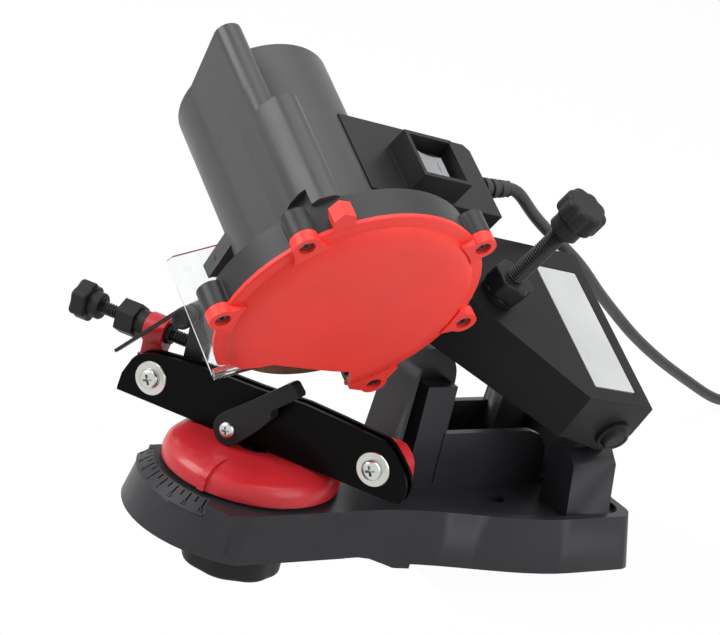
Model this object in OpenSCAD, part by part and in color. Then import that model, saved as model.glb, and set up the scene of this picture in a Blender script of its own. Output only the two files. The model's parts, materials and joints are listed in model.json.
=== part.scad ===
// Bench sharpener for saw chains: a motor head with a thin grinding wheel on a
// tilted hinge, above a chain vise that turns on a graduated round table.
// Row frame: bench top at z = 0, origin midway between the two bench bolts,
// +Y towards the hinge, +X towards the wheel cover, +Z up. Millimetres.

/* [Base casting] */
// Turntable axis, forward of the bench bolts
table_y = -110; // [-114:1:-106]
// Height of the turntable seat above the bench
rim_z = 26; // [24:0.5:28]
// Radius of the round table at its foot
table_r = 53; // [51:0.5:55]
// Slope of the round table's side, foot to top
table_draft = 6.5; // [5:0.5:8]
// Half width of the base behind the table
arm_half = 45; // [43:0.5:47]
// Far side's distance from the turntable axis, behind the table
far_half = 29.5; // [28:0.5:31]
// Half width of the base at the hinge
rear_half = 65; // [62:0.5:68]
// Rear end of the base, behind the turntable axis
rear_y = 172; // [168:1:178]
// Gap under the front of the base
front_lift = 3.5; // [2:0.5:5]
// Depth of the lip that hooks over the bench edge
lip_drop = 2; // [1:0.5:3]
// Back face of the lip, behind the turntable axis
lip_y = 60; // [56:1:64]
// Wall of the base casting
base_wall = 4; // [3:0.5:5]
// Depth of the side bays below the base's top
bay_depth = 2.5; // [1.5:0.5:3.5]
// Half width of the raised centre box
box_half = 20; // [18:0.5:22]
// Height of the centre box's side walls above the bench
box_top = 48.5; // [44:0.5:52]
// Spacing of the two bench bolts
bolt_span = 64; // [62:1:66]
// Radius of a bench bolt hole
bolt_r = 4.25; // [3:0.25:5]

/* [Depth-stop tower] */
// Centre of the tower's round top, behind the turntable axis
tower_y = 75; // [74:0.5:76]
// Radius of the tower's round top
tower_r = 15; // [14:0.2:15.4]
// Height of the tower's top above the bench
tower_top = 84.7; // [83:0.1:85]

/* [Hinge] */
// Tilt of the wheel, motor and hinge axes
head_tilt = 28; // [27:0.5:29]
// Hinge axis behind the wheel axis
pin_back = 146; // [144:0.5:147]
// Hinge axis below the wheel axis, square to the tilt
pin_drop = 43; // [42:0.5:44]
// Radius of the hinge pin
pin_r = 4; // [3:0.5:5]
// Radial clearance of running fits
run_fit = 0.05; // [0.02:0.01:0.1]
// Radius of the pillar bosses
boss_r = 8.5; // [8:0.25:8.5]
// Wire of the return spring
spring_wire = 2; // [1.5:0.25:2.5]

/* [Head position] */
// Wheel centre to the cover side of the turntable axis
wheel_x = 35.4; // [34:0.2:37]
// Wheel centre above the bench
wheel_z = 122.7; // [120:0.5:125]

/* [Grinding wheel and spindle] */
// Radius of the grinding wheel
wheel_r = 54; // [50:0.5:55]
// Thickness of the grinding wheel
wheel_t = 3.2; // [3:0.1:4.5]
// Radius of the wheel's bore
wheel_bore = 11.5; // [8:0.5:12.5]
// Radius of the clamping flanges
flange_r = 16; // [14:0.5:20]
// Radius of the motor spindle
spindle_r = 4; // [3.5:0.5:5]

/* [Guard and cover] */
// Outer radius of the wheel guard
guard_r = 57; // [56.5:0.5:59]
// Half depth of the guard's band
guard_half = 7; // [6.5:0.25:8]
// Back face of the guard behind the wheel
guard_back = 6.5; // [6.3:0.1:7]
// Wall of the plastic shells
shell = 2.5; // [2:0.25:3]
// Height of the wheel cover over the guard
cover_rise = 7.5; // [6.5:0.25:9]
// Circle of the cover screws outside the guard
ear_out = 2.2; // [1.8:0.2:3.4]
// Radius of a screw ear
ear_r = 5.8; // [5.4:0.2:6.4]

/* [Motor housing] */
// Radius of the motor housing
motor_r = 33.5; // [33:0.5:34.5]
// Offset of the housing from the spindle, away from the hinge
motor_off = 1.5; // [0.5:0.5:2]
// Joint between the housing and its cap
seam_w = -72; // [-75:0.5:-70]
// Far end of the cap
cap_w = -106; // [-110:0.5:-100]
// Rear end of the tall ridge over the cap side
fin_w = -60; // [-64:0.5:-56]

/* [Head arm] */
// Slope of the arm's top
deck_slope = 12.5; // [11:0.5:14]
// Near end of the arm along the hinge
arm_near = 45; // [44:0.5:46]
// Far end of the arm along the hinge
arm_far = -42; // [-44:0.5:-41]
// Wall of the arm
arm_wall = 3; // [2.5:0.25:3.5]
// Length of the rating plate's seat
plate_l = 68; // [60:1:72]
// Width of the rating plate's seat
plate_w = 27; // [24:0.5:28]

/* [Switch box] */
// Near face of the switch box along the motor
sbox_near = -28.5; // [-30:0.5:-27]
// Far face of the switch box along the motor
sbox_far = -69; // [-71:0.5:-67]
// Length of the switch box from the motor axis plane
sbox_len = 71.5; // [68:0.5:74]
// Depth of the switch box
sbox_h = 11; // [10:0.5:14]
// Height of the hood round the switch
hood_h = 11; // [8:0.5:12]
// Length of the hood
hood_l = 28; // [26:0.5:30]
// Width of the hood
hood_w = 25; // [23:0.5:27]

/* [Depth screw] */
// Radius of the depth screw
screw_r = 4; // [3:0.5:5]
// Place of the depth screw along the hinge
screw_w = -6.5; // [-8:0.5:-5]
// Place of the depth screw behind the wheel axis
screw_back = 87.5; // [86:0.5:89]
// Reach of the depth screw below the arm's top
screw_reach = 31.5; // [30:0.5:31.5]
// Depth screw above the arm's top
screw_rise = 50; // [44:1:56]
// Radius over the lobes of the depth knob
dknob_r = 10.3; // [9:0.1:12]

/* [Turntable and vise] */
// Radius of the turntable
disc_r = 39; // [37:0.5:40]
// Height of the turntable's top over its seat
disc_h = 11; // [10:0.5:11]
// Turn of the vise from square at rest
vise_turn = 32; // [28:0.5:34]
// Thickness of a jaw plate
jaw_t = 2; // [1.5:0.25:2.5]
// Gap between the jaws, opened
jaw_gap = 3.5; // [3:0.25:4]
// Height of the jaws' lower edge over the seat
jaw_low = 11.5; // [11.3:0.1:12]
// Height of a jaw plate at its highest
jaw_h = 26.5; // [25.5:0.25:27]
// Left end of the jaws
jaw_left = -69; // [-71:0.5:-67]
// Right end of the jaws
jaw_right = 73; // [71:0.5:75]
// Left jaw screw
jscrew_left = -53; // [-54:0.5:-52]
// Right jaw screw
jscrew_right = 56.3; // [55:0.1:57]
// Radius of a jaw screw
jscrew_r = 2.5; // [2:0.25:3]
// Radius of a jaw washer
jwasher_r = 7.6; // [6:0.2:8]

/* [Angle lock] */
// Radius over the lobes of the lock knob
lknob_r = 22.3; // [20:0.1:24]
// Lowest face of the lock knob, below the bench top
lknob_drop = 19; // [16:0.5:20]
// Radius of the lock bolt
lbolt_r = 4; // [3:0.5:5]

/* [Chain stop] */
// Height of the stop screw over the turntable's seat
stop_z = 40; // [39:0.5:41]
// Stop screw behind the middle of the vise
stop_y = 8; // [7.7:0.1:8.3]
// Radius of the stop screw
stop_r = 3; // [2.5:0.25:3.5]
// Radius over the lobes of the stop knob
sknob_r = 9; // [8:0.5:10]

/* [Mains lead] */
// Radius of the mains lead
lead_r = 2.8; // [2.5:0.1:3]

/* [Hidden] */
$fn = 48;
slack = 0.3;       // gap between parts that move past each other
eps = 0.01;

base_h = rim_z - 1.5;
scr = [screw_back, -9.6];
wheel_pos = [wheel_x, table_y, wheel_z];
seat_z = rim_z;

// ---------- frames ----------

// Origin on the turntable axis at bench height.
module on_table() {
    translate([0, table_y, 0]) children();
}

// Origin on the turntable axis at its seat, +X along the vise.
module on_vise() {
    translate([0, table_y, seat_z]) rotate([0, 0, vise_turn]) children();
}

// Origin at the wheel centre, +X along the spindle, +Z up the tilted head.
module on_head() {
    translate(wheel_pos) rotate([0, head_tilt, 0]) children();
}

// Origin on the arm's top plane where the depth screw passes, +Z out of the top.
module on_deck() {
    translate([0, scr[0], scr[1]]) rotate([-deck_slope, 0, 0]) children();
}

// Origin on the switch box's top plane over the motor, +Z out of the top.
module on_box() {
    translate([0, 16, 31]) rotate([-deck_slope, 0, 0]) children();
}

// A profile drawn in Y and Z, given a length along X.
module along_x(x0, x1) {
    translate([x0, 0, 0]) rotate([90, 0, 90]) linear_extrude(x1 - x0) children();
}

// A round bar along X.
module bar_x(x0, x1, r) {
    translate([x0, 0, 0]) rotate([0, 90, 0]) cylinder(h = x1 - x0, r = r);
}

// A turned shape whose profile is [radius, place along X].
module turned_x(profile) {
    rotate([0, 90, 0]) rotate_extrude() polygon(profile);
}

// ---------- shared shapes ----------

// A knob's outline: a disc with rounded lobes round it.
module lobes(r, n, depth) {
    union() {
        circle(r - depth);
        for (i = [0 : n - 1]) rotate(i * 360 / n) translate([r - depth * 1.6, 0]) circle(depth * 1.6, $fn = 24);
    }
}

// A knob's outline: a disc with shallow flutes cut round it.
module flutes(r, n, depth) {
    difference() {
        circle(r);
        for (i = [0 : n - 1]) rotate((i + 0.5) * 360 / n) translate([r + depth * 2, 0]) circle(depth * 3, $fn = 24);
    }
}

// A tube swept along a list of points by rings square to the way.
function unit(v) = v / norm(v);
function way(p, i) = unit(p[min(i + 1, len(p) - 1)] - p[max(i - 1, 0)]);
function side(d) = unit(cross(d, abs(d[2]) < 0.9 ? [0, 0, 1] : [1, 0, 0]));
module tube_along(path, r, sides) {
    n = len(path);
    rings = [for (i = [0 : n - 1]) let (d = way(path, i), a = side(d), b = cross(d, a))
        for (k = [0 : sides - 1]) let (t = 360 * k / sides)
            path[i] + r * (a * cos(t) + b * sin(t))];
    walls = [for (i = [0 : n - 2]) for (k = [0 : sides - 1])
        let (k2 = (k + 1) % sides)
            [i * sides + k, (i + 1) * sides + k, (i + 1) * sides + k2, i * sides + k2]];
    first = [[for (k = [0 : sides - 1]) k]];
    last = [[for (k = [sides - 1 : -1 : 0]) (n - 1) * sides + k]];
    polyhedron(points = rings, faces = concat(walls, first, last));
}

// ---------- base ----------

curve_from = 40;
curve_to = 135;
function ease(t) = t <= 0 ? 0 : t >= 1 ? 1 : t * t * (3 - 2 * t);
far_from = 72;
far_to = 146;
function base_far(y) = far_half + (rear_half - far_half) * ease((y - far_from) / (far_to - far_from));
function base_half(y) = arm_half + (rear_half - arm_half) * ease((y - curve_from) / (curve_to - curve_from));
base_front = -20;
corner = 8;

// Plan of the base behind the round table, drawn in by an inset.
module base_plan(inset) {
    near = [for (y = [curve_from : 8 : curve_to + 1]) [base_half(y) - inset, y]];
    far = [for (y = [far_to : -8 : far_from - 1]) [inset - base_far(y), y]];
    end_x = rear_half - inset;
    end_y = rear_y - inset;
    near_end = [for (a = [0 : 15 : 90]) [end_x - corner + corner * cos(a), end_y - corner + corner * sin(a)]];
    far_end = [for (a = [90 : 15 : 180]) [corner - end_x + corner * cos(a), end_y - corner + corner * sin(a)]];
    polygon(concat([[inset - far_half, base_front], [arm_half - inset, base_front]], near, near_end, far_end, far));
}

// Plan of the slab between the round table's two flat sides.
module front_plan(inset) {
    polygon([[inset - far_half, -90], [arm_half - inset, -90], [arm_half - inset, 60], [inset - far_half, 60]]);
}

taper = [0.925, 0.978];

// The base's plan, drafted from the foot to the top.
module base_block(inset, z0, z1) {
    h = z1 - z0;
    span = base_h + lip_drop;
    s0 = [1 - (1 - taper[0]) * (z0 + lip_drop) / span, 1 - (1 - taper[1]) * (z0 + lip_drop) / span];
    s1 = [1 - (1 - taper[0]) * (z1 + lip_drop) / span, 1 - (1 - taper[1]) * (z1 + lip_drop) / span];
    translate([0, 0, z0]) linear_extrude(height = h, scale = [s1[0] / s0[0], s1[1] / s0[1]], slices = 1)
        scale([s0[0], s0[1], 1]) base_plan(inset);
}

near_corner = [40.5, -31.5];

// The round table, drafted from foot to top.
module table_cone(inset) {
    cylinder(h = base_h, r1 = table_r - inset, r2 = table_r - table_draft - inset);
}

// What is cut away under the base: the front stands clear, the lip hooks down.
module under_cut() {
    far = 100;
    along_x(-far, far) polygon([
        [-far, -far], [-far, front_lift], [lip_y - 26, front_lift], [lip_y - 20, front_lift - 1],
        [lip_y - 13, 0], [lip_y - 8, -lip_drop * 0.9], [lip_y - 6, -lip_drop],
        [lip_y, -lip_drop], [lip_y + 0.2, 0], [2 * far, 0], [2 * far, -far],
    ]);
}

bay_front = 48;
far_bay_front = 96;

module side_bays() {
    intersection() {
        base_block(base_wall, base_h - bay_depth, base_h + 1);
        union() {
            translate([box_half, bay_front, 0]) cube([rear_half, rear_y - bay_front - 6, 60]);
            translate([-box_half - rear_half, far_bay_front, 0]) cube([rear_half, rear_y - far_bay_front - 6, 60]);
        }
    }
}

tower_mid = tower_top - tower_r;
tower_foot = 3;

// Side view of the tower: leaning sides and a round top.
module tower_side() {
    polygon(concat(
        [[tower_y - tower_r - 5, base_h - 1]],
        [for (a = [175 : -10 : 5]) [tower_y + tower_r * cos(a), tower_mid + tower_r * sin(a)]],
        [[tower_y + tower_r + tower_foot, base_h - 1]]
    ));
}

module tower() {
    step_top = 71;
    along_x(-4, 9) tower_side();
    // front edge and the lower step stand proud of the round-topped web
    along_x(9 - eps, 18.5) intersection() {
        tower_side();
        polygon([[40, base_h - 1], [52, tower_top], [tower_y - 11.5, tower_top], [tower_y - 13.5, base_h - 1]]);
    }
    along_x(9 - eps, box_half - 0.5) intersection() {
        tower_side();
        translate([tower_y - 6.5, base_h - 1]) square([15.5, step_top - base_h + 1]);
    }
}

wall_t = 3.5;

module box_walls() {
    wall_end = 143;
    far_start = tower_y + 19;
    // near wall, its top falling away at the rear
    along_x(box_half - wall_t, box_half) polygon([
        [tower_y + 8, base_h - 1], [tower_y + 8, box_top], [wall_end - 13, box_top], [wall_end - 7, box_top - 2],
        [wall_end - 2, box_top - 8], [wall_end, base_h - 1],
    ]);
    // far wall
    along_x(-box_half, -box_half + wall_t) translate([far_start, base_h - 1])
        square([wall_end - far_start, box_top - 2 - base_h + 1]);
    // web that ties the two hinge pillars
    translate([-box_half + 8, pillar_y + pillar_d - 7, base_h - 1]) cube([box_half + 28, wall_t, 47 - base_h]);
    // cross rib that ties the walls
    translate([-box_half + 1, wall_end - 8, base_h - 1]) cube([2 * box_half - 2, wall_t, 12]);
}

pin_at = [pin_back, -pin_drop];
pillar_y = 133;
pillar_d = 24;
near_boss = [27, arm_near - arm_wall - 0.7];
far_boss = [arm_far + arm_wall + 0.7, -27];

// Profile round the hinge pin that widens towards the base.
module pillar_top() {
    translate(pin_at) circle(boss_r);
    polygon([
        [pin_at[0] - boss_r, pin_at[1]], [pin_at[0] + boss_r - 1.7, pin_at[1]],
        [pin_at[0] + boss_r - 1.7, pin_at[1] - 16], [pin_at[0] + boss_r + 2, pin_at[1] - 90],
        [pin_at[0] - boss_r - 10, pin_at[1] - 90],
    ]);
}

module near_pillar() {
    block = [[34, base_h - 5], [55.5, base_h - 5], [51, 46], [45.5, 51.5], [44, 51.5], [34, 49]];
    translate([0, pillar_y + pillar_d, 0]) rotate([90, 0, 0]) linear_extrude(pillar_d) polygon(block);
    intersection() {
        translate([31, pillar_y - 1, 40]) cube([25, pillar_d + 8, 60]);
        translate([wheel_x, 0, wheel_z]) rotate([0, head_tilt, 0]) along_x(near_boss[0], near_boss[1]) pillar_top();
    }
}

module far_pillar() {
    intersection() {
        translate([-box_half, pillar_y - 16, base_h - 1]) cube([12, pillar_d + 30, 100]);
        translate([wheel_x, 0, wheel_z]) rotate([0, head_tilt, 0]) along_x(far_boss[0], 40) pillar_top();
    }
}

module pin_bore(w0, w1) {
    translate([wheel_x, 0, wheel_z]) rotate([0, head_tilt, 0]) translate([0, pin_at[0], pin_at[1]])
        bar_x(w0, w1, pin_r + run_fit);
}

module bolt_boss(x) {
    translate([x, -table_y, 0]) cylinder(h = base_h - bay_depth, r = bolt_r + 5);
}

module base_casting() {
    color([0.16, 0.16, 0.17]) on_table() difference() {
        union() {
            difference() {
                union() {
                    base_block(0, -lip_drop, base_h);
                    intersection() {
                        table_cone(0);
                        linear_extrude(height = base_h, scale = [taper[0], 1], slices = 1) front_plan(0);
                    }
                    linear_extrude(base_h) polygon([[0, 0], [27, -38], [near_corner[0] - 2, near_corner[1] - 1],
                        near_corner, [near_corner[0], 0]]);
                }
                under_cut();
                base_block(base_wall + 1, -lip_drop - eps, base_h - bay_depth - base_wall);
                intersection() {
                    translate([0, 0, -1]) cylinder(h = base_h - base_wall + 1, r1 = table_r - base_wall - 1,
                        r2 = table_r - table_draft - base_wall - 2);
                    linear_extrude(height = base_h, scale = [taper[0], 1], slices = 1) front_plan(base_wall + 1);
                }
                side_bays();
            }
            // seat ring and centre boss of the turntable
            intersection() {
                linear_extrude(rim_z + 1) front_plan(2.4);
                difference() {
                    cylinder(h = rim_z, r = disc_r - 2);
                    translate([0, 0, -1]) cylinder(h = base_h - base_wall + 1, r = disc_r - 1);
                    translate([0, 0, base_h]) cylinder(h = 5, r = disc_r - 8);
                }
            }
            translate([0, 0, front_lift]) cylinder(h = base_h - front_lift - 1, r = 12);
            translate([-2, -table_r + 8, front_lift + 2]) cube([4, table_r + 40, base_h - front_lift - 4]);
            translate([4 - far_half, -2, front_lift + 2]) cube([far_half + arm_half - 8, 4, base_h - front_lift - 4]);
            translate([8 - base_far(92), 92, 2]) cube([base_far(92) + base_half(92) - 16, 4, base_h - bay_depth - 4]);
            for (s = [-1, 1]) bolt_boss(s * bolt_span / 2);
            tower();
            box_walls();
            near_pillar();
            far_pillar();
        }
        translate([0, 0, -eps]) cylinder(h = rim_z + 1, r = lbolt_r + run_fit);
        for (s = [-1, 1]) translate([s * bolt_span / 2, -table_y, -5]) cylinder(h = 60, r = bolt_r);
        pin_bore(-60, 60);
        scale_face();
    }
}

scale_reach = 35;
scale_in = 41.8;
scale_slope = 36.9;

// Slanted face in front of the table, with a groove at every five degrees.
module scale_face() {
    rotate([0, 0, -90 - scale_reach - 3]) rotate_extrude(angle = 2 * scale_reach + 6) polygon([
        [scale_in, base_h + 0.1], [scale_in, base_h + 6], [table_r + 8, base_h + 6], [table_r + 8, base_h - 5],
        [scale_in + 6.8, base_h - 5],
    ]);
    for (a = [-scale_reach : 5 : scale_reach]) rotate([0, 0, a - 90]) translate([scale_in, 0, base_h + 0.1])
        rotate([0, scale_slope, 0]) translate([0.6, -0.35, -0.5]) cube([abs(a) % 10 == 5 ? 4.5 : 3, 0.7, 2]);
}

// ---------- hinge ----------

module on_pin() {
    on_head() translate([0, pin_at[0], pin_at[1]]) children();
}

module hinge_pin() {
    color([0.6, 0.61, 0.62]) on_pin() bar_x(arm_far - 7.5, arm_near + 4, pin_r);
}

cap_len = 4.5;

module hinge_cap() {
    color([0.08, 0.08, 0.085]) on_pin() difference() {
        turned_x([
            [0, arm_near + slack], [8, arm_near + slack], [8, arm_near + slack + 1.4], [6.4, arm_near + slack + 1.6],
            [6.2, arm_near + slack + cap_len - 1], [5.2, arm_near + slack + cap_len], [0, arm_near + slack + cap_len],
        ]);
        bar_x(arm_near, arm_near + 4 + run_fit, pin_r + run_fit);
    }
}

module hinge_nut() {
    color([0.6, 0.61, 0.62]) on_pin() difference() {
        union() {
            bar_x(arm_far - slack - 1.2, arm_far - slack, 8);
            translate([arm_far - slack - 7, 0, 0]) rotate([0, 90, 0]) cylinder(h = 5.8, r = 7.4, $fn = 6);
        }
        bar_x(arm_far - 9, arm_far, pin_r + run_fit);
    }
}

spring_r = 7;
spring_turns = 6;
spring_from = -14;
spring_to = 14;

module return_spring() {
    n = spring_turns * 14;
    coil = [for (i = [0 : n]) let (t = i / n, a = 150 + 360 * spring_turns * t)
        [spring_from + (spring_to - spring_from) * t, spring_r * cos(a), spring_r * sin(a)]];
    // one leg lies under the arm's top, the other rests on the base
    first = [[spring_from, -24, 10.6], [spring_from, -14, 7.6]];
    last = [[spring_to, -8, -4], [spring_to, -16, -13]];
    color([0.6, 0.61, 0.62]) on_pin() tube_along(concat(first, coil, last), spring_wire / 2, 6);
}

// ---------- turntable and vise ----------

jaw_front = -4;
gap_y0 = jaw_front + jaw_t;
rear_y0 = gap_y0 + jaw_gap;
beam_y = rear_y0 + jaw_t + slack;
beam_t = 7;
screw_h = jaw_low + 11.2;
beam_top = jaw_low + 16.5;
beam_low = jaw_low + 12.5;
beam_low_end = -20;

module turntable() {
    color([0.85, 0.15, 0.13]) on_vise() difference() {
        union() {
            rotate_extrude() polygon([
                [0, 0], [disc_r, 0], [disc_r, 3], [disc_r - 1, 6], [disc_r - 3.5, 8.6],
                [disc_r - 8, disc_h - 0.7], [disc_r - 14, disc_h], [0, disc_h],
            ]);
            // beam that backs the jaws, low where the chain stop slides
            translate([0, beam_y + beam_t, 0]) rotate([90, 0, 0]) linear_extrude(beam_t) polygon([
                [carrier_x - 6, jaw_low + 3], [carrier_x - 6, beam_top], [carrier_x + 5, beam_top],
                [carrier_x + 6, beam_low], [beam_low_end, beam_low], [beam_low_end + 2, beam_top + 1],
                [jaw_right - 14, beam_top + 5], [jaw_right - 10.5, beam_top + 4.6], [jaw_right - 7, beam_top + 1.5],
                [jaw_right - 5, beam_top - 2], [jaw_right - 4, beam_top - 9], [jaw_right - 7, jaw_low + 2],
                [disc_r - 6, jaw_low - 1],
                [disc_r - 12, 6], [12 - disc_r, 6], [6 - disc_r, jaw_low - 1],
            ]);
            // pointer on the rim
            rotate([0, 0, -90 - 4]) translate([disc_r - 3, -1.5, 0]) cube([4.2, 3, 6]);
        }
        translate([0, 0, -1]) cylinder(h = 5, r = disc_r - 6);
        translate([0, 0, disc_h - 5]) cylinder(h = 6, r = 9);
        translate([0, 0, -1]) cylinder(h = 30, r = lbolt_r + run_fit);
        for (x = [jscrew_left, jscrew_right]) translate([x, beam_y - 1, screw_h]) rotate([-90, 0, 0])
            cylinder(h = beam_t + 2, r = jscrew_r + run_fit);
        translate([-8, beam_y - 1, clamp_z]) rotate([-90, 0, 0]) cylinder(h = beam_t + 2, r = 6.5);
    }
    color([0.85, 0.15, 0.13]) on_vise() difference() {
        translate([0, 0, 3]) cylinder(h = 4, r = 12);
        translate([0, 0, 0]) cylinder(h = 30, r = lbolt_r + run_fit);
        translate([0, 0, disc_h - 5]) cylinder(h = 6, r = 9);
    }
}

// Side view of a jaw plate, its left end slanted and its right end round.
module jaw_side() {
    top = jaw_low + jaw_h;
    polygon([
        [jaw_left + 0.5, jaw_low], [jaw_left + 0.5, jaw_low + 1.5], [jaw_left + 1.3, jaw_low + 8.2],
        [jaw_left + 4.8, top - 10.4], [jaw_left + 6.2, top - 8.5], [jaw_left + 8.1, top - 6.9],
        [jaw_left + 10.8, top - 5.6], [jaw_left + 14.6, top - 4.3], [jaw_left + 36, top - 1.8],
        [jaw_left + 65.5, top - 1.3], [jaw_right - 53.4, top], [jaw_right - 36.6, top - 0.7],
        [jaw_right - 15.5, top - 2], [jaw_right - 12.2, top - 3.6], [jaw_right - 9.6, top - 5.8],
        [jaw_right - 4, top - 11.6], [jaw_right - 1.8, top - 14.6], [jaw_right - 0.7, top - 17.6],
        [jaw_right - 0.5, top - 21], [jaw_right - 1.4, jaw_low + 1.3], [jaw_right - 2.8, jaw_low + 0.3],
        [jaw_right - 5.4, jaw_low],
    ]);
}

clamp_x = -8;
clamp_z = jaw_low + 7;
clamp_r = 3;

module jaw(y0) {
    translate([0, y0 + jaw_t, 0]) rotate([90, 0, 0]) difference() {
        linear_extrude(jaw_t) jaw_side();
        for (x = [jscrew_left, jscrew_right]) translate([x, screw_h, -1]) cylinder(h = jaw_t + 2, r = jscrew_r + run_fit);
        translate([clamp_x, clamp_z, -1]) cylinder(h = jaw_t + 2, r = clamp_r + run_fit);
    }
}

module front_jaw() {
    color([0.05, 0.05, 0.055]) on_vise() jaw(jaw_front);
}

module rear_jaw() {
    color([0.05, 0.05, 0.055]) on_vise() jaw(rear_y0);
}

module along_y(x, z, y0, y1, r) {
    translate([x, y0, z]) rotate([-90, 0, 0]) cylinder(h = y1 - y0, r = r);
}

washer_t = 1.2;

module jaw_washers() {
    color([0.72, 0.73, 0.72]) on_vise() for (x = [jscrew_left, jscrew_right]) difference() {
        along_y(x, screw_h, jaw_front - washer_t, jaw_front, jwasher_r);
        along_y(x, screw_h, jaw_front - 5, jaw_front + 1, jscrew_r + run_fit);
    }
}

module jaw_screws() {
    color([0.78, 0.79, 0.8]) on_vise() for (x = [jscrew_left, jscrew_right]) {
        along_y(x, screw_h, jaw_front - washer_t - 1, beam_y + beam_t + 1, jscrew_r);
        translate([x, jaw_front - washer_t, screw_h]) rotate([90, 0, 0])
            rotate_extrude() polygon([[0, 0], [4.6, 0], [4.2, 1.4], [2.6, 2.3], [0, 2.6]]);
    }
}

hub_l = 10;
hub_y = jaw_front - slack - hub_l;

module clamp_bolt() {
    color([0.6, 0.61, 0.62]) on_vise() {
        along_y(clamp_x, clamp_z, hub_y + 2, rear_y0 + jaw_t, clamp_r);
        translate([clamp_x, rear_y0 + jaw_t, clamp_z]) rotate([-90, 30, 0]) cylinder(h = 3.5, r = 5.5, $fn = 6);
    }
}

handle_t = 7;

module clamp_lever() {
    color([0.07, 0.07, 0.075]) on_vise() difference() {
        union() {
            along_y(clamp_x, clamp_z, hub_y, hub_y + hub_l, 7);
            // handle that rises past the jaws
            translate([clamp_x, hub_y + handle_t, clamp_z]) rotate([90, 0, 0]) linear_extrude(handle_t) polygon([
                [-6.5, 1.8], [-6.2, 3.8], [-4.9, 5.6], [10, 18.4], [21.3, 29], [23.2, 30.2], [24.6, 30],
                [28, 26.6], [28.2, 25.2], [17.8, 15.6], [17.6, 14.4], [18.2, 12], [12.9, 4], [9.8, 0.6], [4.5, -5.3],
            ]);
        }
        along_y(clamp_x, clamp_z, hub_y + 2, hub_y + hub_l + 1, clamp_r + run_fit);
        along_y(clamp_x, clamp_z, hub_y - 1, hub_y + 3, 1.6);
    }
}

module lever_screw() {
    color([0.78, 0.79, 0.8]) on_vise() {
        along_y(clamp_x, clamp_z, hub_y - slack, hub_y + 2, 1.5);
        translate([clamp_x, hub_y, clamp_z]) rotate([90, 0, 0])
            rotate_extrude() polygon([[0, 0], [3.6, 0], [3.2, 1.2], [1.8, 1.9], [0, 2.1]]);
    }
}

// ---------- angle lock ----------

washer_z = disc_h - 5;

module lock_bolt() {
    color([0.6, 0.61, 0.62]) on_vise() {
        translate([0, 0, -seat_z - lknob_drop + 5]) cylinder(h = seat_z + lknob_drop - 5 + washer_z + 2, r = lbolt_r);
        translate([0, 0, washer_z + 1.2]) cylinder(h = 2.6, r = 6.6);
    }
}

module lock_washer() {
    color([0.72, 0.73, 0.72]) on_vise() translate([0, 0, washer_z]) difference() {
        cylinder(h = 1.2, r = 8.5);
        translate([0, 0, -1]) cylinder(h = 4, r = lbolt_r + run_fit);
    }
}

lknob_top = front_lift - slack;

module lock_knob() {
    color([0.1, 0.1, 0.11]) on_table() difference() {
        union() {
            translate([0, 0, -lknob_drop]) linear_extrude(lknob_drop + lknob_top - 4) flutes(lknob_r, 12, 1.1);
            translate([0, 0, lknob_top - 4 - eps]) cylinder(h = 4, r = 13);
        }
        translate([0, 0, -lknob_drop + 4]) cylinder(h = 40, r = 6.5);
    }
}

module lock_insert() {
    color([0.75, 0.6, 0.3]) on_table() difference() {
        translate([0, 0, -lknob_drop + 4]) cylinder(h = lknob_drop + lknob_top - 5, r = 6.5);
        translate([0, 0, -lknob_drop + 2]) cylinder(h = 40, r = lbolt_r + run_fit);
    }
}

// ---------- chain stop ----------

carrier_x = -60;
carrier_w = 10;
bush_l = 14;
stop_from = -95;
stop_to = -40;

module stop_carrier() {
    color([0.85, 0.15, 0.13]) on_vise() difference() {
        translate([carrier_x - carrier_w / 2, 0, 0]) along_x(0, carrier_w) polygon(concat(
            [for (a = [-10 : 20 : 190]) [stop_y + 6.8 * cos(a), stop_z + 6.8 * sin(a)]],
            [[beam_y, beam_top + 3], [beam_y, beam_top], [beam_y + beam_t, beam_top], [beam_y + beam_t, beam_top + 3]]
        ));
        translate([0, stop_y, stop_z]) bar_x(carrier_x - 20, carrier_x + 20, stop_r + 1.5);
        translate([carrier_x - 20, -10, 0]) cube([40, 10 + beam_y, beam_top + 6.8]);
    }
}

module stop_bush() {
    color([0.08, 0.08, 0.085]) on_vise() translate([0, stop_y, stop_z]) difference() {
        union() {
            bar_x(carrier_x - carrier_w / 2, carrier_x + carrier_w / 2 + 2, stop_r + 1.5);
            bar_x(carrier_x - carrier_w / 2 - 5, carrier_x - carrier_w / 2, 6);
            translate([carrier_x - carrier_w / 2 - bush_l, 0, 0]) rotate([0, 90, 0]) cylinder(h = bush_l - 5, r = 8.2, $fn = 6);
        }
        bar_x(-100, 0, stop_r + run_fit);
    }
}

module stop_screw() {
    color([0.1, 0.1, 0.1]) on_vise() translate([0, stop_y, stop_z]) bar_x(stop_from + 3, stop_to, stop_r);
}

module stop_knob() {
    color([0.08, 0.08, 0.085]) on_vise() translate([0, stop_y, stop_z]) difference() {
        union() {
            translate([stop_from - 7, 0, 0]) rotate([90, 0, 90]) linear_extrude(8) lobes(sknob_r, 6, 1.5);
            bar_x(stop_from, stop_from + 6, 6);
        }
        bar_x(stop_from + 3, stop_from + 10, stop_r);
    }
}

bracket_w = 9;
bracket_x = stop_to - bracket_w / 2;
pawl_x = bracket_x + 1.5;
pawl_z = stop_z + 15;
pawl_y = 0.5;

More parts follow.
